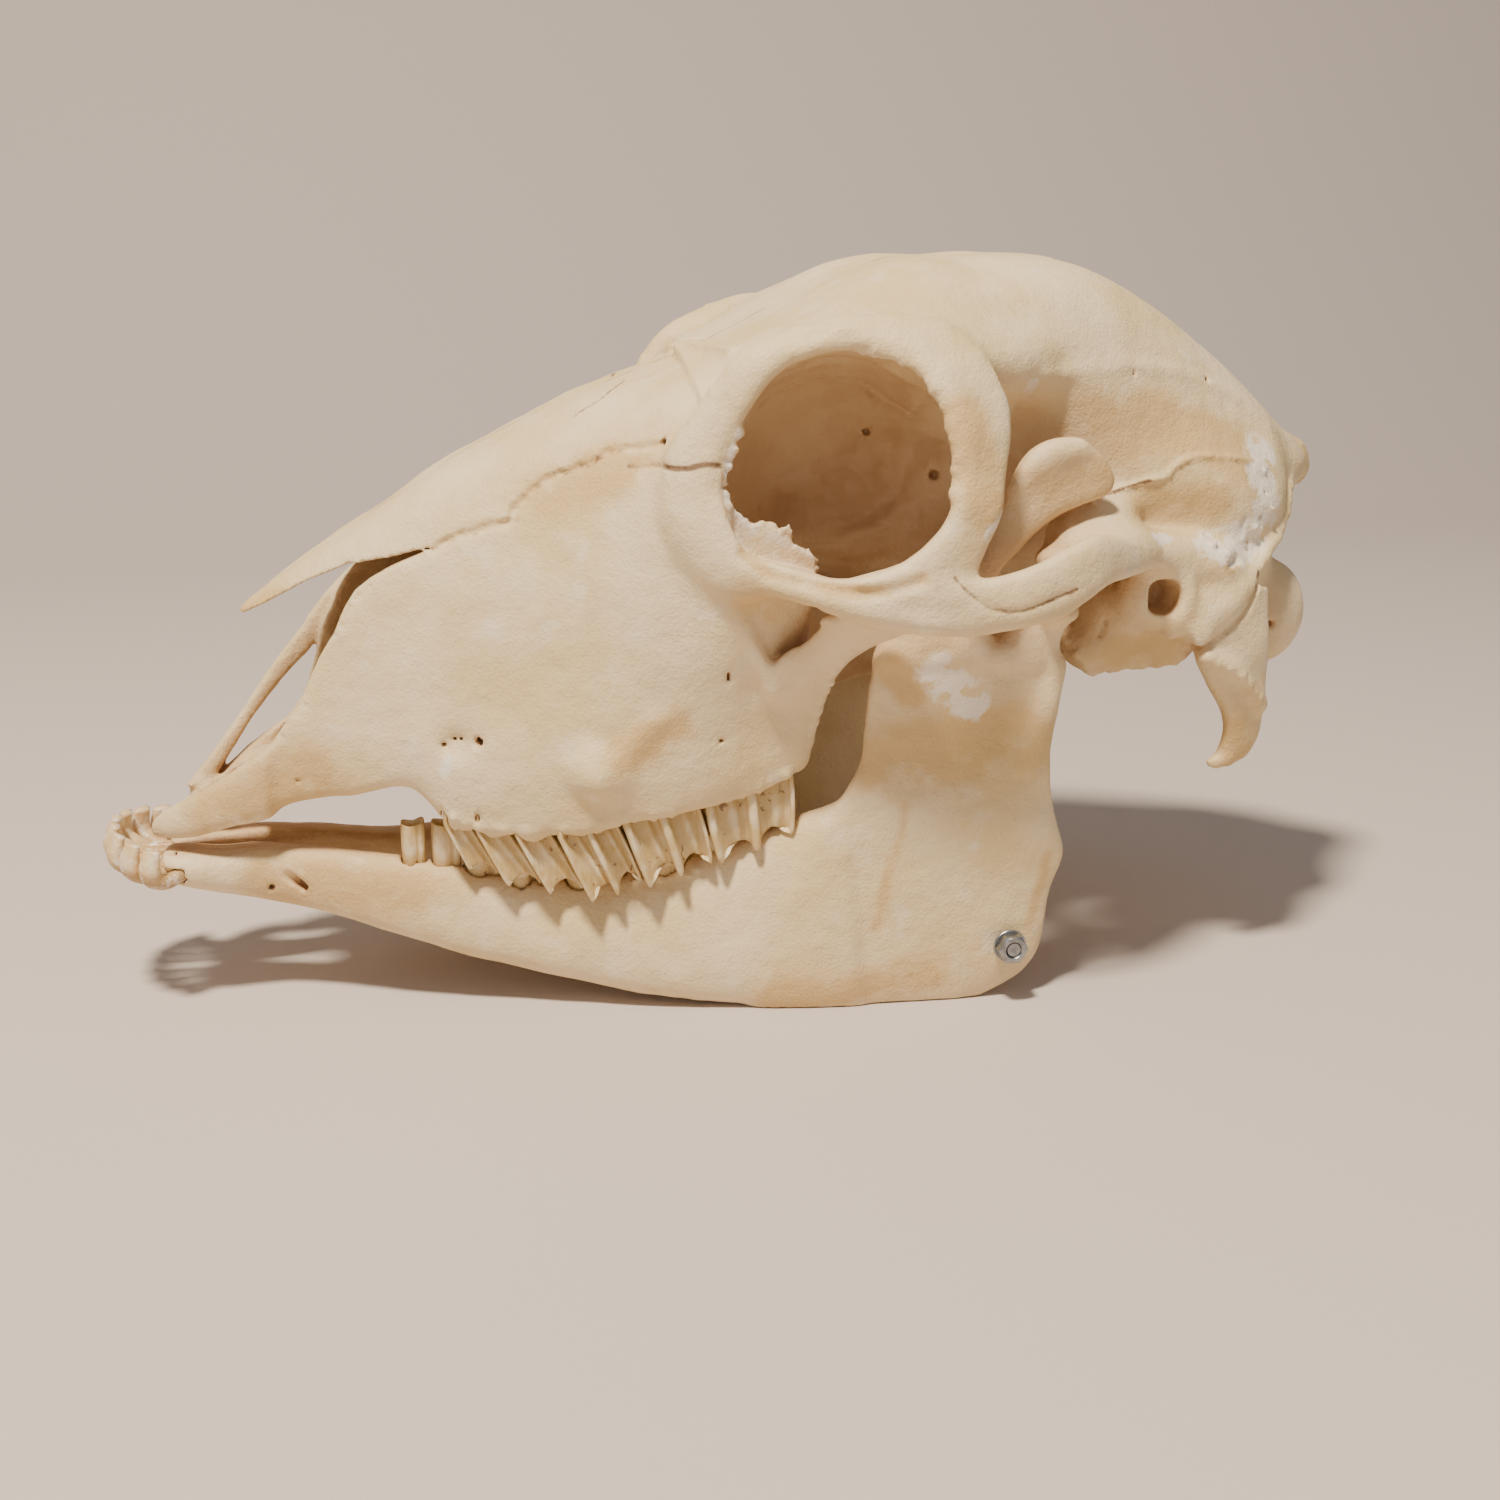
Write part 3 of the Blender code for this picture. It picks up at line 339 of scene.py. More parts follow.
def blade(stations, steps=5, sides=28, closed=False, fullness=0.75):
    """A plate or rod. Each station is one edge x, y, z, the other edge x, y, z, and half the thickness."""
    rows = loop(stations, steps) if closed else spline(stations, steps)
    middle, half = (rows[:, 0:3] + rows[:, 3:6]) / 2, (rows[:, 3:6] - rows[:, 0:3]) / 2
    if closed:
        run = np.roll(middle, -1, 0) - np.roll(middle, 1, 0)
    else:
        run = np.gradient(middle, axis=0)
    across = np.cross(run, half)
    across /= np.linalg.norm(across, axis=1, keepdims=True)
    turn = np.arange(sides) * math.tau / sides
    along = np.copysign(np.abs(np.cos(turn)) ** fullness, np.cos(turn))[None, :, None]
    out = np.copysign(np.abs(np.sin(turn)) ** fullness, np.sin(turn))[None, :, None]
    rings = middle[:, None] + half[:, None] * along + (across * rows[:, 6:7])[:, None] * out
    return loft(rings, closed)


# Incisors of one side from the midline out: crown x, y, half its width, its turn in degrees, and root y
INCISORS = [(-129.4, 2.9, 2.4, 8, 2.3), (-128.2, 8.1, 2.4, 24, 4.7), (-125.2, 12.6, 2.3, 43, 7.1),
            (-121.2, 15.6, 2.2, 62, 9.5)]
INCISOR_ROOT_X, NECK_LEVEL = -111.0, 31.5
FAN_DROP = 0.045  # how much lower a crown stands for each degree that it is turned outwards
# Along an incisor: share of the way from root to crown, height, share of the crown's width, half thickness
INCISOR_PATH = [(0, 28.4, 0.45, 1.1), (0.4, 28.4, 0.55, 1.3), (0.72, 28.9, 0.75, 1.5), (0.94, 31, 0.95, 1.7),
                (1, 33.6, 1, 1.6), (0.94, 37, 0.85, 0.9)]


def incisor(spec):
    """Points and faces of an incisor on the positive side."""
    crown_x, crown_y, width, turn, root_y = spec
    stations = []
    for share, z, wide, thick in INCISOR_PATH:
        angle = math.radians(turn) * share
        x, y = INCISOR_ROOT_X + (crown_x - INCISOR_ROOT_X) * share, root_y + (crown_y - root_y) * share
        dx, dy = width * wide * math.sin(angle), width * wide * math.cos(angle)
        level = z - FAN_DROP * turn * max(share - 0.5, 0) * 2
        stations.append((x - dx, y - dy, level, x + dx, y + dy, level, thick))
    return blade(stations, steps=6, sides=36, fullness=0.85)


# Thin worn enamel over stained dentine: a satin shine, orange cream with chalky flakes, browner at the necks
thin_enamel, tree, shader, place = surface("orange_cream_enamel", 0.42, IOR=1.62, Subsurface_Weight=0.1,
                                           Subsurface_Scale=0.001)
tint = layered(
    tree, "e2bf86", ("ecd6ae", patches(tree, place, 5, 0.35, 0.7)),
    ("b8925c", marked(tree, "root", 0.1, 0.9, 0.85)), ("efe5d3", patches(tree, place, 2.6, 0.54, 0.66, 0.9)),
)
tree.links.new(tint, shader.inputs["Base Color"])
flakes = patches(tree, place, 1.4, 0.3, 0.7)
relief = node(tree, "ShaderNodeBump", height=flakes, distance=0.0001, strength=1.0)
tree.links.new(relief, shader.inputs["Normal"])

for number, spec in enumerate(INCISORS, 1):
    for side, word in ((-1, "left"), (1, "right")):
        points, faces = mirrored(incisor(spec), side)
        root = np.clip((NECK_LEVEL - points[:, 2]) / 2.5, 0, 1)
        tooth = mesh_of(f"spoon_incisor_{number}_{word}", points, faces, root=root)
        placed(tooth, thin_enamel, f"incisor_{number}_{word}")

# ---- Cranium -----------------------------------------------------------------------------------------------
# All the bones of the upper skull, grown together: thin plates over the nose, a braincase, rims round the
# eyes and cheek arches. Cleaned and dried bone, cream where it is smooth, with brown painted shade inside its
# hollows.

VOXEL = 0.6  # millimetres between the points at which distances are kept
BAND = 5.0  # how far from a surface its distances are told apart


def profile(stations, steps=6, around=5):
    """A symmetrical body. Each station is x and half its section: pairs of half width and height."""
    flat = [[x, *np.ravel(section)] for x, section in stations]
    rings = []
    for row in spline(flat, steps):
        half = spline(row[1:].reshape(-1, 2), around)
        half[:, 0] = np.maximum(half[:, 0], 0)
        full = np.vstack([half, half[-2:0:-1] * (-1, 1)])
        rings.append(np.column_stack([np.full(len(full), row[0]), full]))
    return loft(rings)


def ball(centre, radii, rows=14, sides=20):
    """An ellipsoid swelling."""
    lift = np.linspace(-math.pi / 2, math.pi / 2, rows + 2)[1:-1, None]
    turn = (np.arange(sides) * math.tau / sides)[None]
    unit = np.stack([np.cos(lift) * np.cos(turn), np.cos(lift) * np.sin(turn), np.sin(lift) + 0 * turn], -1)
    return loft(unit * radii + centre)


def slab(outline, near, far):
    """A side outline of x, z points carried from one lateral distance to another."""
    return loft([[(x, y, z) for x, z in outline] for y in (near, far)])


class Bone:
    """Distances to the surface of one side of a bone, negative inside, on a grid out from the midline."""

    def __init__(self, low, high):
        self.start = np.floor(np.array(low) / VOXEL).astype(int)
        self.d = np.full(np.ceil(np.array(high) / VOXEL).astype(int) - self.start, BAND, np.float32)

    def window(self, low, high):
        """The part of the grid within reach of a box."""
        low = np.maximum(np.floor((np.array(low) - BAND) / VOXEL).astype(int), self.start)
        high = np.minimum(np.ceil((np.array(high) + BAND) / VOXEL).astype(int), self.start + self.d.shape)
        return low, high, tuple(slice(a - s, b - s) for a, b, s in zip(low, high, self.start))

    def distances(self, shape, grow):
        """Distances to a closed shape, larger all round by a growth, and where on the grid they are."""
        points, faces = shape
        low, high, where = self.window(points.min(0), points.max(0))
        if (high <= low).any():
            return None, None
        grid = vdb.FloatGrid.createLevelSetFromPolygons(
            points.astype(np.float32), triangles=faces.astype(np.uint32),
            transform=vdb.createLinearTransform(voxelSize=VOXEL), halfWidth=BAND / VOXEL,
        )
        box = np.empty(high - low, np.float32)
        grid.copyToArray(box, ijk=tuple(int(v) for v in low))
        return where, box - grow

    def strand_distances(self, path):
        """Distances to a round strand through rows of x, y, z, radius."""
        path = np.asarray(path, np.float32)
        reach = path[:, 3].max()
        low, high, where = self.window(path[:, :3].min(0) - reach, path[:, :3].max(0) + reach)
        if (high <= low).any():
            return None, None
        x, y, z = (np.arange(a, b, dtype=np.float32) * VOXEL for a, b in zip(low, high))
        x, y, z = x[:, None, None], y[None, :, None], z[None, None, :]
        best = np.full(tuple(high - low), BAND, np.float32)
        for p, q in zip(path, path[1:]):
            step = q[:3] - p[:3]
            size = max(float(step @ step), 1e-6)
            t = np.clip(((x - p[0]) * step[0] + (y - p[1]) * step[1] + (z - p[2]) * step[2]) / size, 0, 1)
            gap = (x - p[0] - t * step[0]) ** 2 + (y - p[1] - t * step[1]) ** 2
            gap = np.sqrt(gap + (z - p[2] - t * step[2]) ** 2)
            best = np.minimum(best, gap - p[3] - t * (q[3] - p[3]))
        return where, best

    def join(self, where, new, blend):
        """A shape added, with the crease filled over a blend in millimetres."""
        if where is None:
            return
        old = self.d[where]
        mixed = (old < BAND * 0.98) & (new < BAND * 0.98)
        h = np.maximum(blend - np.abs(old - new), 0) / blend * mixed
        self.d[where] = np.minimum(old, new) - h * h * blend / 4

    def take(self, where, new, blend):
        """A shape cut away, with the edge rounded over a blend in millimetres."""
        if where is None:
            return
        old = self.d[where]
        mixed = (old > -BAND * 0.98) & (new < BAND * 0.98)
        h = np.maximum(blend - np.abs(old + new), 0) / blend * mixed
        self.d[where] = np.maximum(old, -new) + h * h * blend / 4

    def add(self, shape, blend=2.0, grow=0.0):
        self.join(*self.distances(shape, grow), blend)

    def cut(self, shape, blend=0.8, grow=0.0):
        self.take(*self.distances(shape, grow), blend)

    def ridge(self, path, blend=2.0, steps=3):
        self.join(*self.strand_distances(spline(path, steps)), blend)

    def groove(self, path, blend=0.5, steps=1):
        self.take(*self.strand_distances(spline(path, steps)), blend)

    def swell(self, centre, radii, height):
        """The surface raised round a place, or sunk where the height is negative."""
        centre, radii = np.array(centre, float), np.array(radii, float)
        low, high, where = self.window(centre - 2 * radii, centre + 2 * radii)
        x, y, z = (((np.arange(a, b) * VOXEL - c) / r) ** 2 for a, b, c, r in zip(low, high, centre, radii))
        far = x[:, None, None] + y[None, :, None] + z[None, None, :]
        self.d[where] -= (height * np.exp(-far)).astype(np.float32)

    def roughen(self, size, depth, seed):
        """Random dents and swellings about as wide as a size, all over the surface."""
        counts = [int(n * VOXEL / size) + 3 for n in self.d.shape]
        values = np.random.default_rng(seed).standard_normal(counts).astype(np.float32)
        for axis, n in enumerate(self.d.shape):
            t = np.arange(n) * VOXEL / size
            near = t.astype(int)
            share = (t % 1).astype(np.float32).reshape([-1 if a == axis else 1 for a in range(3)])
            share = share * share * (3 - 2 * share)
            one, two = np.take(values, near, axis), np.take(values, near + 1, axis)
            values = one + (two - one) * share
        self.d += depth * values

    def ease(self, reach, low=(-999, -999, -999), high=(999, 999, 999)):
        """Creases smoothed over a reach in millimetres, in all of the bone or between two corners."""
        where = self.window(low, high)[2]
        for _ in range(max(1, round(2 * (reach / VOXEL) ** 2))):
            for axis in range(3):
                part = self.d[where]
                pad = [(1, 1) if k == axis else (0, 0) for k in range(3)]
                wide, n = np.pad(part, pad, "edge"), part.shape[axis]
                one, two, three = (np.take(wide, range(k, k + n), axis) for k in range(3))
                self.d[where] = (one + 2 * two + three) / 4

    def laid(self, path, sunk=0.0, reach=7.0):
        """A path moved sideways onto the bone's nearest surface, and then inwards by a depth."""
        rows = []
        for x, y, z, *rest in path:
            line = self.d[round(x / VOXEL) - self.start[0], :, round(z / VOXEL) - self.start[2]]
            k = np.flatnonzero((line[:-1] < 0) & (line[1:] >= 0))
            found = (k + line[k] / (line[k] - line[k + 1]) + self.start[1]) * VOXEL
            if len(k) and np.abs(found - y).min() < reach:
                y = found[np.abs(found - y).argmin()]
            rows.append((x, y - sunk, z, *rest))
        return rows

    def copy(self):
        other = Bone.__new__(Bone)
        other.start, other.d = self.start.copy(), self.d.copy()
        return other


# Face and nose: half sections from the midline of the nasal bones round to the midline of the palate
FACE = [
    (-101.5, [(0, 79.5), (2.5, 79.2), (7, 72), (10.5, 62), (12.5, 54),
              (13.5, 46), (12.4, 39.8), (6, 40.4), (0, 42)]),
    (-90, [(0, 88), (5, 87.3), (11, 80), (14.5, 68), (16.5, 58),
           (17.2, 49), (15.6, 43), (8, 43.8), (0, 46)]),
    (-80, [(0, 94.6), (8, 93.2), (14.5, 85), (17.5, 72), (19.2, 60),
           (20, 50), (18.5, 44.2), (10, 45.6), (0, 48.5)]),
    (-70, [(0, 100.8), (10, 99), (17, 90), (20.5, 76), (23, 62),
           (24, 53), (22, 46.4), (13, 47.4), (0, 49.5)]),
    (-62, [(0, 106.5), (11, 104.5), (18.5, 95), (23.5, 79), (26.5, 62),
           (28, 48), (25.5, 38.4), (16, 44.5), (0, 50.5)]),
    (-50, [(0, 112.8), (12, 110.8), (20.5, 103), (27, 85), (31.5, 64),
           (33, 48), (30, 37.4), (17.5, 43.5), (0, 52)]),
    (-36, [(0, 119.8), (13.5, 117.8), (24, 109), (32, 90), (36, 67),
           (37.2, 50), (34.5, 38.6), (19, 46), (0, 53.5)]),
    (-22, [(0, 124.8), (15, 123), (29.5, 115), (38.5, 97), (40.5, 74),
           (40, 56), (36.5, 41.4), (21, 49), (0, 55)]),
    (-10, [(0, 129), (17, 127.8), (34, 121.5), (42.5, 108), (45, 86),
           (41.5, 64), (37.5, 43.8), (22, 52), (0, 57)]),
    (1, [(0, 134.2), (20, 133.5), (36, 129), (46, 112), (47.5, 90),
         (37.5, 67), (36.5, 46.8), (22, 55), (0, 62)]),
    (7, [(0, 137.5), (20, 137), (37, 132.5), (46.5, 114), (48.5, 92),
         (36.5, 72), (35, 50.6), (22, 60), (0, 70)]),
]
# Frontal roof over both eye sockets
ROOF = [
    (-6, [(0, 130.5), (18, 130), (31, 127), (38, 122), (30, 116), (0, 112)]),
    (8, [(0, 138), (20, 137.5), (36, 136), (43, 131.5), (33, 124), (0, 112)]),
    (20, [(0, 144), (20, 143.5), (36, 139.5), (44.5, 133.5), (34, 126), (0, 110)]),
    (32, [(0, 147), (20, 146), (37, 139.5), (46, 130.5), (35, 122), (0, 105)]),
    (42, [(0, 146.6), (20, 145.8), (35, 138.5), (44.5, 128.2), (34, 117), (0, 100)]),
    (51, [(0, 147.6), (19, 146), (32, 137.5), (40, 127.8), (32, 115), (0, 95)]),
    (60, [(0, 147.5), (17, 145.5), (29, 137), (33.5, 127), (31, 112), (0, 95)]),
]
# Wall between the eye sockets
ORBIT_WALL = [
    (-10, [(0, 124), (21, 120), (22, 104), (20, 88), (0, 82)]),
    (6, [(0, 134), (16, 128), (15.5, 108), (14.5, 90), (0, 80)]),
    (20, [(0, 138), (17, 132), (16.5, 110), (15, 88), (0, 79)]),
    (34, [(0, 138), (23, 132), (21.5, 112), (17, 88), (0, 78)]),
    (46, [(0, 138), (28, 130), (27, 112), (21, 88), (0, 77)]),
]
# Braincase from behind the eye sockets to the back of the head
BRAINCASE = [
    (31, [(0, 143), (14, 142), (24, 137), (25, 128), (21, 116),
          (17, 104), (13, 93), (8, 85), (0, 81)]),
    (40, [(0, 146.4), (16, 146), (30, 141), (35, 131), (29, 118),
          (25, 104), (21, 90), (12, 81), (0, 78)]),
    (54, [(0, 147.6), (16, 146.8), (29, 141), (35.5, 129.5), (34, 116),
          (31, 102), (26, 88), (13, 79), (0, 76)]),
    (68, [(0, 146), (15, 144.8), (26, 138.5), (32, 127), (35, 113),
          (33, 99), (28, 86), (13, 77), (0, 74)]),
    (84, [(0, 138.3), (13, 137.3), (22, 131), (28, 122), (34, 108),
          (34, 96), (29, 84), (13, 74), (0, 70)]),
    (98, [(0, 128.7), (11, 127.8), (19, 122), (26, 113), (33.5, 102),
          (33, 91), (28, 82), (13, 71), (0, 67)]),
    (109, [(0, 119.3), (10, 118.5), (17.5, 114), (24, 105.5), (28, 97),
           (24.5, 88), (21, 79), (12, 69), (0, 65)]),
    (116, [(0, 113.6), (8, 112.4), (12.5, 108.6), (15, 103.6), (15, 99),
           (12, 94.5), (8, 91), (4, 89), (0, 88.4)]),
    (122.5, [(0, 108.6), (4, 108), (7.5, 105.8), (9.5, 103), (9, 100.8),
             (7.5, 99), (5.5, 98), (3, 97.4), (0, 97.2)]),
]
# Rim of an eye socket: inner edge, outer edge and half thickness, from the front over the top and round
ORBIT_RIM = [
    (-11.6, 42.4, 108.6, -19, 40.2, 107.5, 2.2),
    (-6.4, 43.2, 120.4, -13, 39, 123, 2.3),
    (0.8, 44.6, 128.6, -3.2, 39, 132, 2.5),
    (12.7, 47, 131.8, 13.5, 42, 136.5, 2.7),
    (22.6, 51, 129.2, 31, 45, 134.5, 2.8),
    (27.4, 55, 121.4, 40.5, 49.5, 123.2, 2.9),
    (29, 57, 110.8, 39.6, 54.5, 108.2, 2.9),
    (27.2, 58, 102, 37, 56.8, 98.5, 2.8),
    (20.5, 57, 95, 27, 56.5, 82.4, 2.8),
    (10.3, 54.5, 91.2, 12, 54, 82.6, 2.8),
    (0.9, 51, 92.8, -2, 49.5, 85.2, 2.8),
    (-8.6, 47, 96.4, -14.5, 43.5, 91, 2.7),
]
# Hollow of an eye socket: size against the rim, then how far out, back and down
ORBIT_DEPTHS = [
    (1.06, 16, 0, 0), (1.0, 0.5, 0, 0), (1.0, -9, 0.5, 1.5), (0.96, -19, 2.5, 4), (0.84, -28, 5, 6),
    (0.6, -34, 8, 8), (0.25, -37, 10, 9),
]
# Cheek bone, its arch and the shelf that carries the jaw joint: upper edge, lower edge, half thickness
ARCH = [
    (12, 55.5, 93, 10, 54, 83.5, 2.6),
    (22, 57.5, 93, 22, 56.5, 80.6, 2.6),
    (31, 58.5, 91, 30, 58, 80, 2.6),
    (38, 59, 91.6, 38, 58.8, 80.6, 2.5),
    (45, 59, 93.4, 45, 59, 81.8, 2.5),
    (51.5, 57.5, 95.8, 51, 58, 83, 2.6),
    (57.5, 54.5, 97.6, 57, 56, 86.6, 2.7),
    (63.5, 49.5, 96, 63.5, 51.5, 88, 2.8),
    (70.5, 43.5, 93.8, 70.5, 45, 87.6, 3.0),
    (80, 38, 91.4, 80, 38, 86.6, 3.0),
    (92, 36, 89.4, 92, 36, 85, 3.0),
]
JOINT_SHELF = [
    (54, 56, 92, 55.5, 43, 93, 2.4),
    (60, 54, 92, 60, 33, 94, 2.7),
    (68, 47, 91.5, 68, 30, 93, 2.8),
    (77, 41, 91, 77, 28, 91, 2.8),
    (87, 36, 89.5, 87, 28, 89.5, 2.8),
]
# Plate of the cheek bone and maxilla under the eye socket: front edge, back edge, half thickness
CHEEK = [
    (-5, 34, 50, 6.4, 34.8, 50.5, 2.0),
    (-5, 37, 60, 9.2, 36.5, 60, 2.0),
    (-3, 41, 68, 11.8, 39.5, 69, 2.2),
    (-1, 46, 77, 17, 44, 76, 2.4),
    (0, 50, 85, 26, 52.5, 82, 2.6),
]
# Paracondylar process, of which the right one has lost its tip: front edge, back edge, half thickness
PARACONDYLAR = [
    (90, 36, 82, 104, 32, 82, 3.4),
    (87.5, 37, 70, 104.6, 34, 70.5, 3.0),
    (90.6, 36, 63.3, 104.8, 33, 64, 2.7),
    (94.6, 35, 57, 105, 32.5, 57, 2.4),
    (96.3, 34, 52, 104.6, 32, 51, 2.1),
    (96, 33, 48, 102.4, 32, 46.3, 1.8),
    (94.8, 32.8, 45.6, 99, 32, 44.6, 1.5),
]
BROKEN_PROCESS_STATIONS = 5
# Nuchal crest from the midline to the mastoid: outer edge, inner edge, half thickness
NUCHAL_CREST = [
    (124.5, 0.5, 104, 117, 0.5, 101, 3.0),
    (119, 9, 101.6, 110, 8, 99, 2.3),
    (115.6, 16, 99, 105, 13.5, 96, 2.1),
    (112.2, 22.5, 95.4, 100, 18.5, 93, 2.0),
    (108, 28, 91.6, 96, 23.5, 89, 2.0),
    (102.2, 33.6, 86.8, 91, 28.5, 85, 2.1),
    (94.6, 38.4, 80, 85, 32, 80, 2.2),
    (86.6, 39.8, 72.6, 81, 34, 75.5, 2.4),
]
# Pterygoid plate: upper edge, lower edge, half thickness
PTERYGOID = [
    (2, 16, 78, 1, 17, 60, 1.8),
    (18, 14, 80, 18, 15, 61, 1.7),
    (34, 12.5, 80, 36, 13.5, 65, 1.7),
    (48, 12, 79, 52, 12.5, 73, 1.7),
]
# Bar of the skull base along the midline: right edge, left edge, half thickness
BASE_BAR = [
    (6, -8, 84, 6, 8, 84, 5.0),
    (40, -9, 81, 40, 9, 81, 5.0),
    (72, -10, 75.5, 72, 10, 75.5, 4.8),
    (98, -12, 69, 98, 12, 69, 4.4),
    (111, -12, 67.5, 111, 12, 67.5, 4.2),
]
# Premaxilla ahead of the nose opening: upper edge, lower edge, half thickness
PREMAXILLA = [
    (-97, 13.4, 54, -98, 13.6, 40, 2.6),
    (-104, 12.2, 49.6, -105, 12.6, 37.7, 2.7),
    (-111, 10.3, 45, -112, 11.2, 35.7, 2.6),
    (-116.5, 7.8, 41.4, -117.5, 8.8, 34.8, 2.4),
    (-119.6, 5.2, 38.4, -120.6, 5.8, 34.6, 2.0),
]
PALATINE_PROCESS = [
    (-119, 1.6, 37.5, -119, 5.0, 37.5, 1.7),
    (-104, 1.3, 41.5, -104, 4.6, 41.5, 1.5),
    (-92, 1.0, 44.6, -92, 4.6, 44.6, 1.5),
    (-82, 0.8, 47, -82, 5, 47, 1.7),
]
# Nasal process of the right premaxilla, whose left fellow is lost: upper edge, lower edge, half thickness
NASAL_PROCESS = [
    (-115, 9.4, 40.5, -109, 10.6, 42, 1.4),
    (-108.7, 11, 47.8, -104.7, 11.8, 48, 1.1),
    (-102.1, 13, 56.6, -99, 13.6, 55.8, 1.1),
    (-95.1, 14.6, 65.7, -90.5, 15.4, 65.2, 1.1),
    (-88, 15.6, 74, -82.5, 16.6, 71.5, 1.2),
    (-83, 16, 79, -78, 17.4, 75, 1.3),
]
# Foot of that strip on the bone below it, and its wide upper end on the edge of the face
STRIP_FOOT = [
    (-115, 12.6, 35.4, -111.8, 12.6, 35, 1.2),
    (-112.9, 13.6, 39.6, -109.8, 13.6, 39.4, 1.3),
    (-110.6, 14, 43.4, -107, 14, 44.2, 1.3),
    (-108.6, 14, 46.6, -105.4, 14, 46.8, 1.1),
]
STRIP_HEAD = [
    (-88.5, 15.6, 73.6, -83, 16.4, 70, 1.1),
    (-84, 16, 79, -79, 17, 75, 1.2),
    (-79.8, 16.4, 83.4, -75, 17.4, 80, 1.2),
    (-75, 16.8, 87.6, -71, 18, 84, 1.2),
]
# Side outline of what is cut from the right side of the nose, so that its strip stands alone
RIGHT_CUT = [
    (-124, 33), (-119.7, 34.6), (-114.8, 37.6), (-111.5, 39.8), (-107.3, 42.6), (-102.6, 46.7), (-97.6, 50.4),
    (-93.3, 53.2), (-90, 57.6), (-87.6, 64), (-85.4, 72), (-82.6, 78), (-88, 84), (-130, 84), (-130, 46),
]
# Passages of the spinal cord, of the nose to the throat and of the palate: two edges, half thickness
FORAMEN_MAGNUM = [(132, -10, 80, 132, 10, 80, 9), (100, -9, 82, 100, 9, 82, 8), (88, -7, 84, 88, 7, 84, 6)]
THROAT_PASSAGE = [
    (-36, -8, 70, -36, 8, 70, 6),
    (-18, -9, 69, -18, 9, 69, 6.5),
    (-4, -9.5, 69.5, -4, 9.5, 69.5, 6.5),
    (14, -10, 72, 14, 10, 72, 6),
]
PALATINE_FISSURE = [(-108, 5.6, 20, -94, 7.2, 20, 2.6), (-108, 5.6, 80, -94, 7.2, 80, 2.6)]
# Passage of the ear, then thin plates in the nose: the one on the midline and one on each side
EAR_PASSAGE = [
    (79.4, 48, 86, 79.4, 48, 77.8, 3.5),
    (79, 38, 85.4, 79, 38, 78.2, 3.3),
    (78, 33, 84, 78, 33, 79.5, 2.4),
]
VOMER = [
    (-96, 0, 46, -96, 0, 49, 0.7),
    (-70, 0, 50, -70, 0, 54, 0.7),
    (-34, 0, 54, -34, 0, 62, 0.8),
]
NOSE_SCROLL = [
    (-76, 15.5, 70, -76, 15.5, 76, 0.7),
    (-60, 17, 66, -60, 18, 82, 0.8),
    (-36, 20, 74, -36, 21, 98, 1),
]
# Raised edges as x, y, z and radius: behind the ear passage, and round the foot of the bulla
EAR_LIP = [(83.4, 39.4, 86, 0.8), (84.2, 39.6, 81.6, 1.3), (82.6, 39, 77, 1.5), (81.6, 37.6, 74, 1.2)]
BULLA_FOOT = [(63, 26, 72, 1.8), (67, 26.6, 67.6, 1.8), (72, 26.6, 67, 2.2), (80, 27.2, 67.6, 2.2),
              (87, 29, 69, 2)]
# Side outline of the nose opening, which is cleared across the whole width
NOSE_OPENING = [
    (-63.9, 93.2), (-70.4, 91.6), (-79.7, 89.4), (-87.1, 86), (-91.7, 83.6), (-100.5, 79.2), (-104, 77.5),
    (-150, 70), (-150, 46), (-112.5, 45), (-106.2, 48), (-102.2, 50.5), (-96.1, 54.8), (-92.5, 60),
    (-90.6, 62.5), (-86.4, 71.8), (-83.2, 76.3), (-82, 79.5), (-80.8, 81.8), (-78.5, 85), (-74.8, 87.6),
    (-69.9, 90.2),
]


def nose_cavity(wall, growth):
    """The hollow of the nose, one thin wall inside the face."""
    stations = []
    for x, s in FACE[:7]:
        w = wall + growth * (x - FACE[0][0])
        floor = s[8][1] + w + 0.8
        inner = [(0, s[0][1] - w), (max(s[1][0] - 1.2, 0.8), s[1][1] - w)]
        inner += [(s[k][0] - w, s[k][1] - 0.8) for k in (2, 3, 4)]
        inner += [(s[5][0] - 1.8 * w, max(s[5][1], floor + 1)), (0, floor)]
        stations.append((x, inner))
    first, last = stations[0][1], stations[-1][1]
    middle = (last[0][1] + last[-1][1]) / 2
    stations.insert(0, (-128, [(w, z - 4) for w, z in first]))
    stations.append((-27, [(w * 0.6, middle + (z - middle) * 0.6) for w, z in last]))
    return profile(stations)


def orbit_hollow():
    """The hollow of an eye socket, inside its rim and deeper inwards."""
    rim = loop([row[:3] for row in ORBIT_RIM], 6)
    centre = rim.mean(0)
    rings = [centre + (rim - centre) * size + (back, out, -down) for size, out, back, down in ORBIT_DEPTHS]
    return loft(spline(np.array(rings).reshape(len(rings), -1), 3).reshape(-1, len(rim), 3))


def geometry_group(name, **sockets):
    """An empty node group that takes and gives a shape, with named number inputs, and its two end nodes."""
    group = bpy.data.node_groups.new(name, "GeometryNodeTree")
    for way in ("OUTPUT", "INPUT"):
        group.interface.new_socket("Geometry", in_out=way, socket_type="NodeSocketGeometry")
    for key, value in sockets.items():
        kind = "NodeSocketInt" if isinstance(value, int) else "NodeSocketFloat"
        group.interface.new_socket(key, in_out="INPUT", socket_type=kind).default_value = value
    ends = [group.nodes.new(kind) for kind in ("NodeGroupInput", "NodeGroupOutput")]
    return group, ends[0].outputs, ends[1].inputs[0]


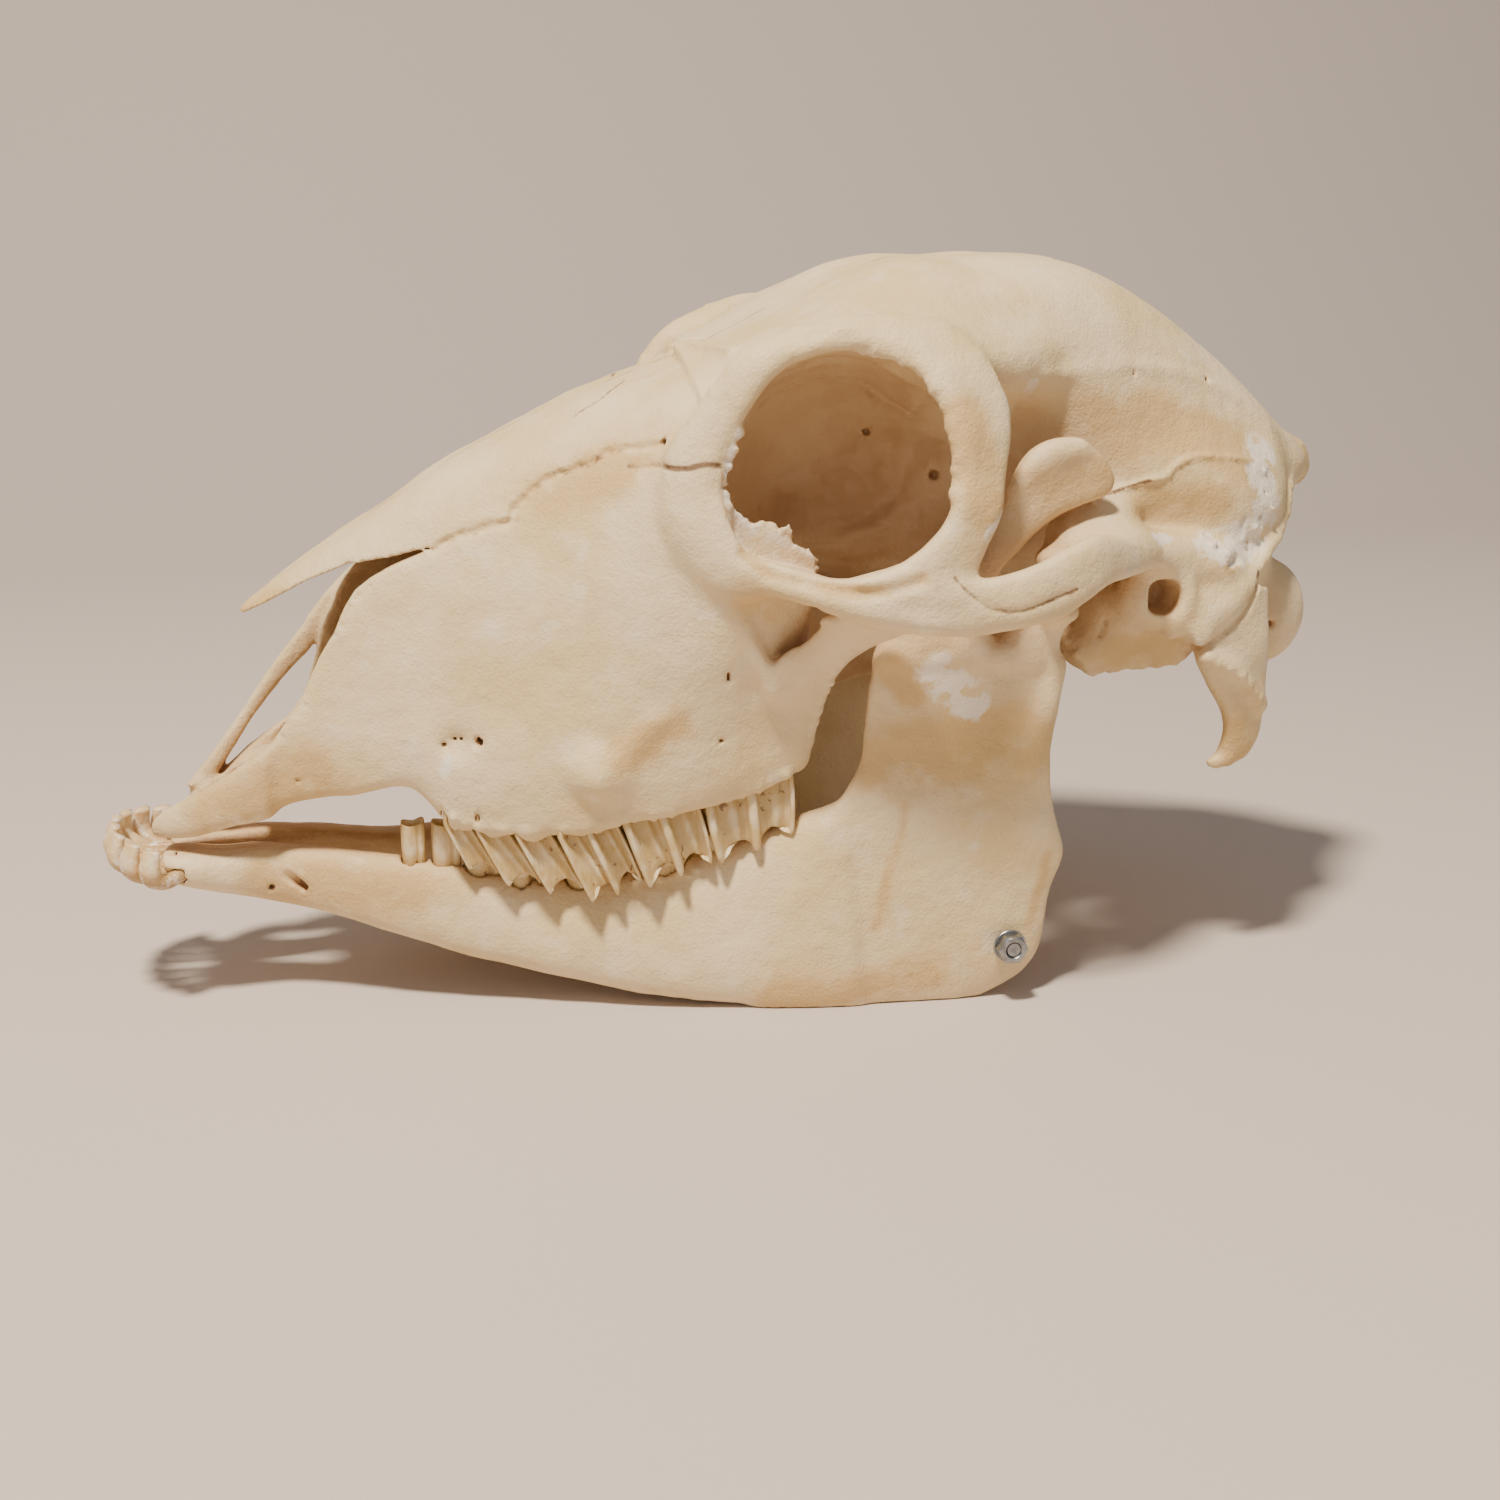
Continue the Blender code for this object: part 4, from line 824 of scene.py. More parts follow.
def grown(made, group, **values):
    """The object with the plain mesh that a node group makes of it with the given input values."""
    modifier = made.modifiers.new("grow", "NODES")
    modifier.node_group = group
    for item in group.interface.items_tree:
        if item.in_out == "INPUT" and item.name in values:
            modifier[item.identifier] = values[item.name]
    kept = bpy.data.meshes.new_from_object(made.evaluated_get(bpy.context.evaluated_depsgraph_get()))
    made.modifiers.clear()
    made.data = kept
    return made


# Boiled and dried bone, matte and faintly see-through at its thin edges: cream where it was cleaned, chalky
# where it has weathered and tan where fat stayed in. Painted shade darkens it to brown in its sheltered
# hollows and to tan on some faces turned from the lamp, and a painted highlight whitens the jaw's coronoid
# edge. Its pores are under a tenth of a millimetre and are drawn 0.6 mm apart.
dry_bone, tree, shader, place = surface("dried_bone", 0.58, IOR=1.55, Subsurface_Weight=0.12,
                                        Subsurface_Scale=0.0015, Subsurface_Radius=(1.0, 0.7, 0.4))
pores = patches(tree, place, 0.6, 0.3, 0.75)
tint = layered(
    tree, "ebd4aa", ("dfc48c", patches(tree, place, 26, 0.35, 0.68)),
    ("ebdcc0", patches(tree, place, 9, 0.56, 0.76, 0.7)),
    # Tan stains, and painted shade in tan on faces turned from the lamp
    ("d2ae70", marked(tree, "tan_stain_and_shade", 0.08, 0.75, 0.85, patches(tree, place, 9, 0.15, 0.6))),
    # Chalky patches, and on the jaw a painted highlight along the coronoid's raised front edge
    ("f2e7d5", marked(tree, "chalk_and_highlight", 0.26, 0.56, 0.85, patches(tree, place, 3.5, 0.2, 0.62))),
    ("cba873", patches(tree, place, 1.3, 0.6, 0.8, 0.35)),
    # Painted shade: browner, in three steps, the more a point is sheltered inside a hollow
    ("dcbf92", marked(tree, "hollow", 0.08, 0.45, 0.75)),
    ("c8a272", marked(tree, "hollow", 0.35, 0.8, 0.8)), ("ac845a", marked(tree, "hollow", 0.62, 1.0, 0.8)),
    ("6e4522", marked(tree, "seam", 0.3, 0.8, 0.85)),
)
tree.links.new(tint, shader.inputs["Base Color"])
swells = patches(tree, place, 5, 0.2, 0.8)
relief = node(tree, "ShaderNodeBump", height=swells, distance=0.00025, strength=1.0)
relief = node(tree, "ShaderNodeBump", height=pores, distance=0.00007, strength=1.0, normal=relief)
tree.links.new(relief, shader.inputs["Normal"])

# Knobs of rough bone scattered along a path, uneven in size and set a little off it
knobs, taken, given = geometry_group("knobs_on_a_path", Spacing=0.0016, Size=0.0007, Spread=0.0003, Seed=1)
path = node(knobs, "GeometryNodeMeshToCurve", mesh=taken["Geometry"])
path = node(knobs, "GeometryNodeResampleCurve", {"mode": "LENGTH"}, curve=path, length=taken["Spacing"])
away = node(knobs, "FunctionNodeRandomValue", {"data_type": "FLOAT_VECTOR"}, min=(-1, -1, -1), max=(1, 1, 1),
            seed=taken["Seed"])
away = node(knobs, "ShaderNodeVectorMath", {"operation": "SCALE"}, vector=away, scale=taken["Spread"])
path = node(knobs, "GeometryNodeSetPosition", geometry=path, offset=away)
uneven = node(knobs, "FunctionNodeRandomValue", {"data_type": "FLOAT"}, min=0.55, max=1.25,
              seed=taken["Seed"])
knob = node(knobs, "GeometryNodeMeshIcoSphere", radius=taken["Size"], subdivisions=2)
row = node(knobs, "GeometryNodeInstanceOnPoints", points=path, instance=knob, scale=uneven)
row = node(knobs, "GeometryNodeRealizeInstances", geometry=row)
knobs.links.new(node(knobs, "GeometryNodeSetMaterial", geometry=row, material=dry_bone), given)


def places(made):
    """The object's points in millimetres in the frame in which the skull was measured."""
    points = np.empty(len(made.data.vertices) * 3)
    made.data.vertices.foreach_get("co", points)
    return points.reshape(-1, 3) / MM - SHIFT


def scattered(path, spacing, size, spread, seed):
    """Points and faces of the knobs along a path, all in millimetres."""
    path = spline(path, 3)
    made = mesh_of("knobs", path, [], [(k, k + 1) for k in range(len(path) - 1)])
    grown(made, knobs, Spacing=spacing * MM, Size=size * MM, Spread=spread * MM, Seed=seed)
    shape = places(made), np.array([face.vertices for face in made.data.polygons])
    bpy.data.objects.remove(made, do_unlink=True)
    return shape


def crumbled(rows, seed):
    """Edges made uneven. Each row is a bone's add or cut, a path, the knobs' spacing, size and spread, what
    is added to the seed, and the blend."""
    for change, path, spacing, size, spread, own, ease in rows:
        change(scattered(path, spacing, size, spread, seed + own), ease)


def hole(bone, place, towards, radius, deep):
    """A round hole from just outside a place into the bone."""
    start, step = np.array(place, float), np.array(towards, float)
    step /= np.linalg.norm(step)
    bone.groove([(*(start - step * 1.5), radius), (*(start + step * deep), radius * 0.8)])


# Places on one side, measured where the photo shows them and taken the same on the other side
TEMPORAL_LINE = [(51, 38.5, 126), (58.8, 34.5, 125.6), (64.4, 32.4, 125.8), (74.3, 29, 126),
                 (82.8, 26, 124.4), (90.2, 23.4, 122.4), (101.4, 19.6, 117.4), (108, 18.5, 112.5)]
SQUAMOSAL_LEDGE = [(63, 33.8, 101.6), (70.6, 34.4, 103.2), (75.6, 34.4, 104.4), (79.8, 33.9, 104.9),
                   (82.2, 33.8, 107.2), (86.8, 32.8, 108.5), (90.9, 32, 108.4), (97, 30.2, 107.6),
                   (103, 28, 106)]
NUCHAL_EDGE = [(119, 9, 101.6), (115.6, 16, 99.2), (112.2, 22.3, 95.6), (108, 27.8, 91.8), (102.2, 33.4, 87),
               (94.6, 38.2, 80.2), (87, 39.6, 73)]
NUCHAL_BORDER = [(104.6, 27, 108), (102.8, 29, 104.4), (104, 28.6, 100.6), (102.6, 30.4, 96),
                 (99.6, 33, 91.6), (94.4, 35, 90.8), (89.4, 36, 91.4)]
BULLA_EDGE = [(62.7, 26.6, 71.5), (66, 26.8, 67.4), (69, 27, 64.8), (73.8, 27.6, 64.8), (80.8, 28, 65.6),
              (87, 29.4, 67.6)]
EAR_CREST = [(67.4, 39.4, 93.2), (73.7, 38.2, 92.2), (80.4, 37.4, 90.8), (86.2, 36.8, 90), (92.6, 36.4, 87.8)]
MASTOID_SUTURE = [(100.4, 34.6, 85.4), (99.9, 35, 82.7), (98, 36.6, 79.1), (95.4, 37, 76.2), (92.7, 37, 74),
                  (89.6, 36.6, 72.2), (86, 36, 70.6)]
PROCESS_STEP = [(88.8, 39.2, 69), (91.1, 38.9, 67.9), (96.4, 38.1, 65.6), (101.6, 36.2, 60),
                (103.6, 35.2, 57.4)]
CHEEK_EDGE = [(12.9, 47.2, 75.9), (10.6, 42.5, 70.3), (8.8, 38.5, 62.8), (6.6, 35.8, 53)]
CHEEK_CREST = [(-3, 51.4, 89.6), (1.7, 53.9, 88.2), (9.8, 56.6, 86), (18.8, 58.6, 84.1), (26, 59.9, 83)]
MASSETER_EDGE = [(-14.2, 46, 94), (-9.5, 45.6, 86), (-6.3, 44.2, 78), (-1.6, 42.4, 68)]
TUBER_RIDGE = [(-34.7, 39.2, 50.8), (-30.8, 38, 54.6), (-26.9, 38.2, 58), (-23.7, 39, 61.8)]
CHEEK_SUTURE = [(28.6, 60.2, 91.4), (31.2, 60.9, 88.7), (34.7, 61.2, 86.1), (39, 61.5, 84.9),
                (42.4, 61.7, 85.2), (45.7, 61.5, 86.3), (48.9, 61, 87.4), (52.4, 60.1, 88.4)]
NOSE_CRACK = [(-62.6, 18.8, 93.6), (-59, 20.4, 95.6), (-55.8, 20.8, 96.5), (-52.4, 22.4, 97.9),
              (-49, 23, 98.5), (-48.2, 22.6, 100.6), (-47, 22.4, 102), (-43.2, 22.6, 105.5),
              (-39, 23.3, 107.7), (-34.1, 24.8, 109.4), (-30.4, 26.4, 111.8), (-27.1, 27.5, 112.7),
              (-19.8, 31.8, 114.2)]
LACRIMAL_CRACK = [(-27, 33, 109.6), (-22, 36, 110.4), (-18, 39, 110.6), (-14.6, 42, 111.4), (-12, 43, 111)]
NOSE_EDGE = [(-63.5, 18.6, 93.1), (-69.9, 17.2, 89.6), (-74.6, 16.2, 86.5), (-78.1, 15.5, 83.9),
             (-80.4, 15.3, 80.6), (-82.1, 15.2, 77.7), (-82.8, 15.9, 75.3), (-85.7, 15.5, 71.2),
             (-90, 15.5, 62.3), (-95, 14.7, 55.6)]
MIDLINE = [(x, 0, s[0][1]) for x, s in FACE + ROOF[2:] + BRAINCASE[3:7]]
CORONAL = [(66, 0, 146.6), (65, 8, 146.2), (67.5, 16, 144.2), (64.5, 24, 140)]
SOCKET_FURROW = [(-8.6, 47, 95.4), (-3.9, 50, 91.4), (1.9, 52.6, 89.6), (9.2, 55.6, 88.6), (16.5, 58, 89.2),
                 (22.3, 59.6, 91)]
NASAL_BACK = [(-26, 0, 123.4), (-24, 7, 123.8), (-30, 13, 120.6), (-42, 17, 114), (-50, 20, 107.6),
              (-56, 21, 101)]
SOCKET_SHELF = [(-11.4, 104.6), (-8.6, 101.6), (-5.7, 99.6), (-3.9, 100.4), (-1.9, 100.2), (-0.2, 98.8),
                (1.4, 98.4), (1.9, 96.2), (3.4, 95), (4.4, 94), (6, 93.2), (6.2, 90.6), (4.4, 87.4),
                (-3, 88.4), (-9, 92.6), (-13, 98.6)]
SHELF_EDGE = [(x, 42.6, z) for x, z in SOCKET_SHELF[:12]]
NERVE_PIT = [(-63.6, 28, 57.6), (-62.4, 28, 56), (-61.4, 28, 54.6)]
NECK_KNOB = [(119.6, 5, 108.2), (123, 4.4, 107.2), (125.6, 3.4, 104.4), (126.2, 2, 101.4), (124.4, 3.4, 99)]
TOOTH_NECKS = [(x, read(UPPER_OUTER, x) + 0.6, read(UPPER_NECK, x) + 1.6) for x in range(-62, 6, 4)]
ORBIT_EDGE = [(14, 47.4, 132), (22.4, 51.2, 129), (27.4, 55, 121.4), (29, 57, 112.4), (28.6, 57.4, 107)]
FACE_EDGE = [(-8.4, 43, 117), (-9.8, 43, 113), (-10.8, 43, 109), (-10.8, 43.4, 105.4), (-10.6, 44.2, 101.6)]

half = Bone((-128, 0, 32), (132, 66, 152))
for table in (FACE, ROOF, ORBIT_WALL, BRAINCASE):
    half.add(profile(table), 0.5)
half.ease(1.0)
half.add(blade(BASE_BAR), 3)
half.add(ball((123, 0, 103.4), (4.2, 7, 5)), 3)  # knob at the back of the head
half.add(ball((124.4, 2.6, 101.6), (2.5, 3, 2.7)), 1.5)
half.add(blade(ORBIT_RIM, closed=True), 6)
for centre, radii, height in (  # the face rises to the front of the rim
    ((-20, 38, 110), (9, 8, 14), 2.2), ((-17, 42, 99), (7, 7, 6), 1.6), ((-9, 42, 131), (9, 8, 7), 1.2),
):
    half.swell(centre, radii, height)
for table, ease in (
    (ARCH, 2), (JOINT_SHELF, 3), (CHEEK, 3), (PTERYGOID, 2), (NUCHAL_CREST, 1.6), (PREMAXILLA, 4),
):
    half.add(blade(table), ease)
for centre, radii, ease in (
    ((112, 14.5, 73), (9.2, 9, 11.5), 3),  # occipital condyle
    ((77, 25, 76), (12.5, 8.2, 9.6), 3),  # bulla, with a flat and uneven bottom
    ((69, 25.5, 70.8), (6.8, 6.2, 5.6), 2.5),
    ((84, 28, 71.2), (6.5, 5.6, 5.2), 2.5),
    ((90, 32.4, 81), (10.5, 6.2, 10.5), 4),  # mastoid
    ((79, 34.4, 82.5), (8, 6, 8), 4),  # ear opening
    ((57.5, 45, 91), (7.5, 9.5, 3.4), 2),  # jaw joint
    ((65, 40.6, 93.4), (9.5, 7, 4.4), 4),  # root of the cheek arch on the braincase
    ((63.6, 36.4, 96), (8.5, 4.6, 4.4), 5),
    ((67, 33.4, 99), (8.5, 5, 4.2), 4),
    ((-34, 36.5, 51.5), (6.5, 4.2, 5), 4),  # facial tuber
):
    half.add(ball(centre, radii), ease)
for centre, radii, height in (
    ((76, 35, 114), (22, 9, 8), -1.5),  # fossa of the chewing muscle behind the eye socket
    ((52, 36, 114), (8, 8, 9), -1.6),
    ((86, 36, 98), (12, 9, 6), -0.8),  # basin under the squamosal ledge
    ((62, 30, 79), (5, 6, 7), -1.5),  # front face of the bulla
    ((73, 42, 86), (6, 4, 4), -1.2),  # behind the jaw joint
    ((17, 46.5, 136), (6, 4, 5), -0.5),  # bar behind the eye socket, flat outside
    ((28, 50, 131.5), (6, 4, 5), -0.6),
    ((34.5, 54, 122.5), (6, 4, 6), -0.8),
    ((35, 58, 110), (6, 4, 6), -0.8),
    ((32.5, 60, 99), (6, 4, 6), -0.6),
    ((97, 37, 71), (7, 4, 5), 0.8),  # upper facet of the paracondylar process and the step under it
    ((97.5, 36.5, 60.4), (7, 3.6, 3.4), -1.3),
    ((91, 38, 64.6), (4, 3.4, 2.4), -1.0),
    ((3, 50.6, 79), (7, 8, 8), -2.6),  # hollow under the cheek crest
    ((-2, 49, 86), (5, 5, 4), -1.2),
    ((-61.2, 28, 56.2), (3.2, 5, 2.6), -2.0),  # pit of the nerves of the face
    ((-11.5, 41.8, 105.6), (2.6, 3, 2.4), -1.6),  # tear duct
    ((43.4, 46, 76.6), (3, 3, 2), -1.0),
    ((2.3, 15, 96.9), (3.6, 5, 3.2), -1.8),  # recess in the inner wall of the eye socket
    ((88, 39.5, 79), (5.5, 4, 5), 1.1),  # plate behind the ear opening
    ((-14, 45, 62), (9, 8, 9), -0.8),
    ((-52, 29, 66), (12, 8, 10), -0.9),  # shallow face ahead of the cheek teeth
    ((-20, 42, 82), (13, 8, 11), 0.8),
    ((30, 22, 147), (16, 12, 10), 0.5),  # brows over the eye sockets, with a dip between them
    ((16, 0, 143), (16, 8, 10), -0.8),
    ((-30, 0, 122), (18, 5, 8), -0.5),
    ((112, 8, 92), (6, 7, 8), -1.5),  # back of the head above the spinal opening
):
    half.swell(centre, radii, height)
half.ease(0.6)
half.cut(nose_cavity(1.7, 0.03), 1.2)
half.cut(slab(NOSE_OPENING, -60, 60), 0.5)
half.cut(orbit_hollow(), 0.7)
half.ease(3.0, (-8, 8, 86), (42, 32, 126))
half.ease(0.8, (-8, 30, 116), (26, 42, 131))
half.cut(blade(FORAMEN_MAGNUM), 1.5)
half.cut(blade(THROAT_PASSAGE), 1.5)
half.cut(blade(EAR_PASSAGE))
half.cut(blade(PALATINE_FISSURE), 0.8)
half.add(blade(PALATINE_PROCESS), 1)
half.add(blade(VOMER), 1)
half.add(blade(NOSE_SCROLL), 1)
half.ridge([(x, y - 1.2, z, 1.9) for x, y, z in TEMPORAL_LINE], 1.5)
half.ridge(half.laid([(x, y, z, 0.75) for x, y, z in SQUAMOSAL_LEDGE], 0.25), 0.3)
half.groove(half.laid([(x, y, z, 0.9) for x, y, z in SOCKET_FURROW], -0.2), 1.6, 3)
for path, sunk, radius, ease in (
    (CHEEK_CREST, 1.1, 1.7, 1.5), (MASSETER_EDGE, 1.2, 1.8, 1.5), (TUBER_RIDGE, 1, 2.4, 2.5),
    (PROCESS_STEP, 0.3, 1.2, 0.5), (NUCHAL_EDGE, 0.4, 1.3, 1), (EAR_CREST, 1.6, 2.8, 4),
):
    half.ridge([(x, y - sunk, z, radius) for x, y, z in path], ease)
for path, ease in (
    (EAR_LIP, 2), (BULLA_FOOT, 3), ([(61.6, 43, 89.6, 1.5), (63.4, 36, 88.4, 1.6), (65, 30, 87, 1.4)], 1.2),
):
    half.ridge(path, ease)
for name, front, back, _, outer in UPPER_TEETH:
    middle, neck = (front + back) / 2, read(UPPER_NECK, (front + back) / 2)
    half.ridge([(middle, outer - 2, neck + 1, 2.6), (middle + 1, outer - 2.6, neck + 7, 2.2),
                (middle + 2, outer - 3, neck + 13, 0.8)], 2)
    points, faces = teeth["upper", name]
    half.cut((points[:, :3], faces), 0.3, 0.3)
for place, towards, radius, deep in (
    ((-58.6, 29.6, 56.6), (0.85, -0.6, 0.05), 1.1, 3.5),  # openings for the nerves of the face
    ((-61.4, 28.2, 57.2), (0.85, -0.6, 0), 0.5, 1.5), ((-62.4, 27.8, 55.8), (0.85, -0.6, 0), 0.55, 1.5),
    ((-10.2, 42.7, 71.2), (0, -1, 0), 0.6, 2), ((-10.1, 42.6, 70), (0, -1, 0), 0.6, 2),
    ((-11.2, 40.9, 57.5), (0, -1, 0), 0.5, 2), ((3.8, 53.8, 84.7), (0, -1, 0.2), 1.1, 2),
    ((8.4, 34.6, 136.3), (-0.3, -0.3, -1), 0.7, 1), ((13.2, 32.3, 138.9), (-0.3, -0.3, -1), 0.6, 1),
    ((23.4, 15.7, 113.2), (0.2, -1, 0.1), 1.0, 1.2), ((35.7, 22.1, 105.1), (0.4, -1, 0), 1.3, 0.9),
    ((73.6, 30.4, 125.2), (0, -1, -0.3), 0.5, 0.8),
    ((93, 21.3, 122.6), (0, -1, -0.3), 0.5, 0.6), ((72.7, 42.7, 87), (0, -1, 0), 0.6, 2),
    ((64.5, 31, 82), (0.2, -1, 0.2), 1.5, 2), ((110.4, 22.9, 71.7), (-0.3, -1, 0), 0.9, 1.5),
    ((-7.5, 12.5, 56), (-0.3, 0, 1), 1.3, 4),
    ((40, 14, 86), (0, -1, 0.3), 1.6, 4), ((57, 20, 80), (0, -0.7, 0.7), 1.7, 4),
    ((102, 11, 66), (0, -0.3, 1), 1.2, 4),
):
    hole(half, place, towards, radius, deep)


def on_bone(path):
    """A path smoothed and laid on the outside of the half made so far."""
    return half.laid(spline(path, 4))


nose_crack, lacrimal_crack, cheek_suture = on_bone(NOSE_CRACK), on_bone(LACRIMAL_CRACK), on_bone(CHEEK_SUTURE)
ledge, process_step, nuchal_border = on_bone(SQUAMOSAL_LEDGE), on_bone(PROCESS_STEP), on_bone(NUCHAL_BORDER)
bulla_edge, bulla_slit = on_bone(BULLA_EDGE), on_bone([(69.9, 30, 76), (68.9, 30, 72.6)])
socket_slit, crest_slit = (on_bone(p) for p in (
    [(26.8, 17.6, 94.4), (27.2, 16.6, 90.8)], [(98.1, 33, 95.9), (97.7, 33, 94.2)],
))
mastoid_pit = on_bone([(93.2, 36, 88), (95.2, 36, 88.6)])
widths = np.tile([0.95, 0.6, 0.85, 0.5, 0.75], 12)  # the crack beside the nose gapes unevenly
for path, ease in (
    ([(x, y - 0.2, z, r) for (x, y, z), r in zip(nose_crack, widths)], 0.2),
    ([(x, y + 0.1, z, 0.5) for x, y, z in lacrimal_crack], 0.2),
    ([(*p, 0.42) for p in cheek_suture], 0.2),
    ([(x, y, z + 0.25, 0.55) for x, y, z in MIDLINE], 0.2),
    ([(x, y + 0.2, z + 0.3, 0.5) for x, y, z in NASAL_BACK], 0.2),
    ([(*p, 0.5) for p in crest_slit], 0.2),
    ([(*p, 0.6) for p in bulla_slit], 0.2),
    ([(*p, 1.15) for p in mastoid_pit], 0.4),
    ([(76.2, 41.4, 88, 0.6), (75.4, 41.4, 86.4, 0.8), (75, 41.2, 85.4, 0.5)], 0.2),  # slit above the ear
):
    half.groove(path, ease)

left, right = half.copy(), half
left.add(blade(PARACONDYLAR), 2.5)
left.ridge([(97.4, 33, 45.8, 1.5), (95.2, 33, 45, 1.2), (94, 33, 45.1, 0.8)], 1)
right.add(blade(PARACONDYLAR[:BROKEN_PROCESS_STATIONS]), 2.5)
right.cut(slab(RIGHT_CUT, 0, 60), 0.4)
right.add(blade(NASAL_PROCESS), 1)
right.add(blade(STRIP_FOOT), 1.5)
right.add(ball((-110.6, 10.6, 39.4), (3.4, 3, 2.2)), 2)
right.add(blade(STRIP_HEAD), 1)
mastoid_suture = left.laid(spline(MASTOID_SUTURE, 4))
for bone, seed in ((left, 1), (right, 40)):
    bone.groove([(x, y - 0.1, z, 0.85) for x, y, z in mastoid_suture], 0.2)
    bone.add(slab(SOCKET_SHELF, 41.6, 43.2), 0.8)  # broken tear bone in the front corner of the eye socket
    crumbled((
        (bone.add, SHELF_EDGE, 0.7, 0.5, 0.7, 0, 0.6),
        (bone.cut, SHELF_EDGE, 1.1, 0.4, 0.8, 20, 0.3),
        (bone.add, [(x + 0.2, y - 0.8, z - 0.2) for x, y, z in ORBIT_EDGE], 1.9, 0.95, 0.3, 1, 2.0),
        (bone.cut, [(x - 1.4, y + 0.2, z) for x, y, z in ORBIT_EDGE], 2.1, 0.5, 0.3, 21, 1.2),
        (bone.add, [(x + 0.5, y, z) for x, y, z in FACE_EDGE], 1.6, 0.8, 0.7, 2, 1.6),
        (bone.cut, [(x + 1.6, y, z) for x, y, z in FACE_EDGE], 2.1, 0.45, 0.6, 22, 0.8),
        (bone.add, ledge, 0.9, 0.42, 0.3, 3, 0.4),
        (bone.add, NUCHAL_EDGE, 1.8, 0.8, 0.5, 4, 1.4),
        (bone.add, nuchal_border, 0.9, 0.5, 1.8, 5, 1.0),
        (bone.cut, nuchal_border, 1.0, 0.4, 2.6, 6, 0.3),
        (bone.add, bulla_edge, 1.7, 0.7, 0.4, 7, 2.0),
        (bone.add, process_step, 1.3, 0.6, 0.4, 8, 0.6),
        (bone.add, CHEEK_EDGE, 2.4, 0.7, 0.4, 9, 1.2),
        (bone.add, NECK_KNOB, 1.2, 0.7, 0.5, 10, 1.2),
        (bone.add, TEMPORAL_LINE[3:], 1.6, 0.5, 0.6, 11, 0.8),
        (bone.cut, NOSE_EDGE, 1.5, 0.5, 0.4, 12, 0.4),
        (bone.cut, bone.laid(NERVE_PIT), 0.8, 0.5, 1.3, 13, 0.3),
        (bone.add, [(-58.6, 30, 59), (-57.2, 30.6, 57.4), (-57.4, 30.6, 54.6)], 1.2, 0.7, 0.3, 14, 0.8),
        (bone.add, TOOTH_NECKS, 1.7, 0.8, 0.6, 15, 1.4),
        (bone.cut, [(-97, 13, 44), (-84, 17, 47), (-70, 22, 47)], 3, 0.45, 3, 16, 0.2),
    ), seed)
crumbled([(left.cut, [(95.4, 34.5, 53.4), (95.6, 34, 49.6), (94.8, 33.6, 47)], 1.5, 0.55, 0.3, 0, 0.2)], 60)


def joined(left, right):
    """The whole bone from its two halves."""
    whole = left.copy()
    whole.d = np.concatenate([left.d[:, :0:-1], right.d], 1)
    whole.start[1] = 1 - left.d.shape[1]
    return whole


def skin_of(bone):
    """Points and outward quads of a bone's one largest body, without loose crumbs."""
    grid = vdb.FloatGrid()
    grid.copyFromArray(np.ascontiguousarray(bone.d), ijk=tuple(int(v) for v in bone.start))
    grid.transform = vdb.createLinearTransform(voxelSize=VOXEL)
    points, quads = grid.convertToQuads(0.0)
    points, quads = np.array(points, float), np.array(quads, int)
    label = np.arange(len(points))
    edges = np.vstack([quads[:, [k, (k + 1) % 4]] for k in range(4)])
    changed = True
    while changed:
        low = np.minimum(label[edges[:, 0]], label[edges[:, 1]])
        before = label.copy()
        np.minimum.at(label, edges[:, 0], low)
        np.minimum.at(label, edges[:, 1], low)
        label = label[label]
        changed = (label != before).any()
    keep = label == np.bincount(label).argmax()
    quads = (np.cumsum(keep) - 1)[quads[keep[quads[:, 0]]]]
    points = points[keep]
    return points, quads if volume(points, quads) > 0 else quads[:, ::-1]


SKULL_FACETS, JAW_FACETS = 190000, 90000


def thinned(made, triangles):
    """The object with fewer and larger facets where its surface is calm."""
    made.data.calc_loop_triangles()
    count = len(made.data.loop_triangles)
    if count > triangles:
        reduce = made.modifiers.new("thin", "DECIMATE")
        reduce.ratio = triangles / count
        kept = bpy.data.meshes.new_from_object(made.evaluated_get(bpy.context.evaluated_depsgraph_get()))
        made.modifiers.clear()
        made.data = kept
        made.data.shade_smooth()
    return made


def nearness(points, *paths):
    """1 on any of several paths of x, y, z on either side, falling to 0 a few widths away."""
    points, best = np.abs(points * (0, 1, 0)) + points * (1, 0, 1), 0
    for width, path in paths:
        path = np.asarray(path, float)
        away = np.full(len(points), 1e9)
        for p, q in zip(path, path[1:]):
            step = q - p
            t = np.clip((points - p) @ step / (step @ step), 0, 1)
            away = np.minimum(away, ((points - p - t[:, None] * step) ** 2).sum(1))
        best = np.maximum(best, np.exp(-away / width**2))
    return best


def give(made, name, column):
    """A value for each point of the object, under a name that its material reads."""
    made.data.attributes.new(name, "FLOAT", "POINT").data.foreach_set("value", np.asarray(column, np.float32))


whole = joined(left, right)
whole.roughen(8.0, 0.14, 5)
whole.roughen(2.6, 0.05, 6)
skull = thinned(mesh_of("dry_skull", *skin_of(whole)), SKULL_FACETS)
spots = places(skull)
give(skull, "chalk_and_highlight", nearness(
    spots, (5, nuchal_border), (2.0, half.laid([(75, 37, 94.2), (78.6, 36, 94)])),
    (1.5, [(11.6, 15.5, 101), (11.6, 15.5, 104)]), (4.5, [(-9, 43, 99), (-4, 43, 94), (4, 43, 93)]),
    (1.3, FACE_EDGE), (1.8, [(37.6, 56, 104), (35, 58, 99)]), (2, [(-62.4, 28.6, 55.4), (-64, 28, 51)]),
    (1.8, [(49.6, 40, 125), (49.2, 39, 121)]), (1.8, [(6, 38, 47), (-4, 37, 43)]),
))
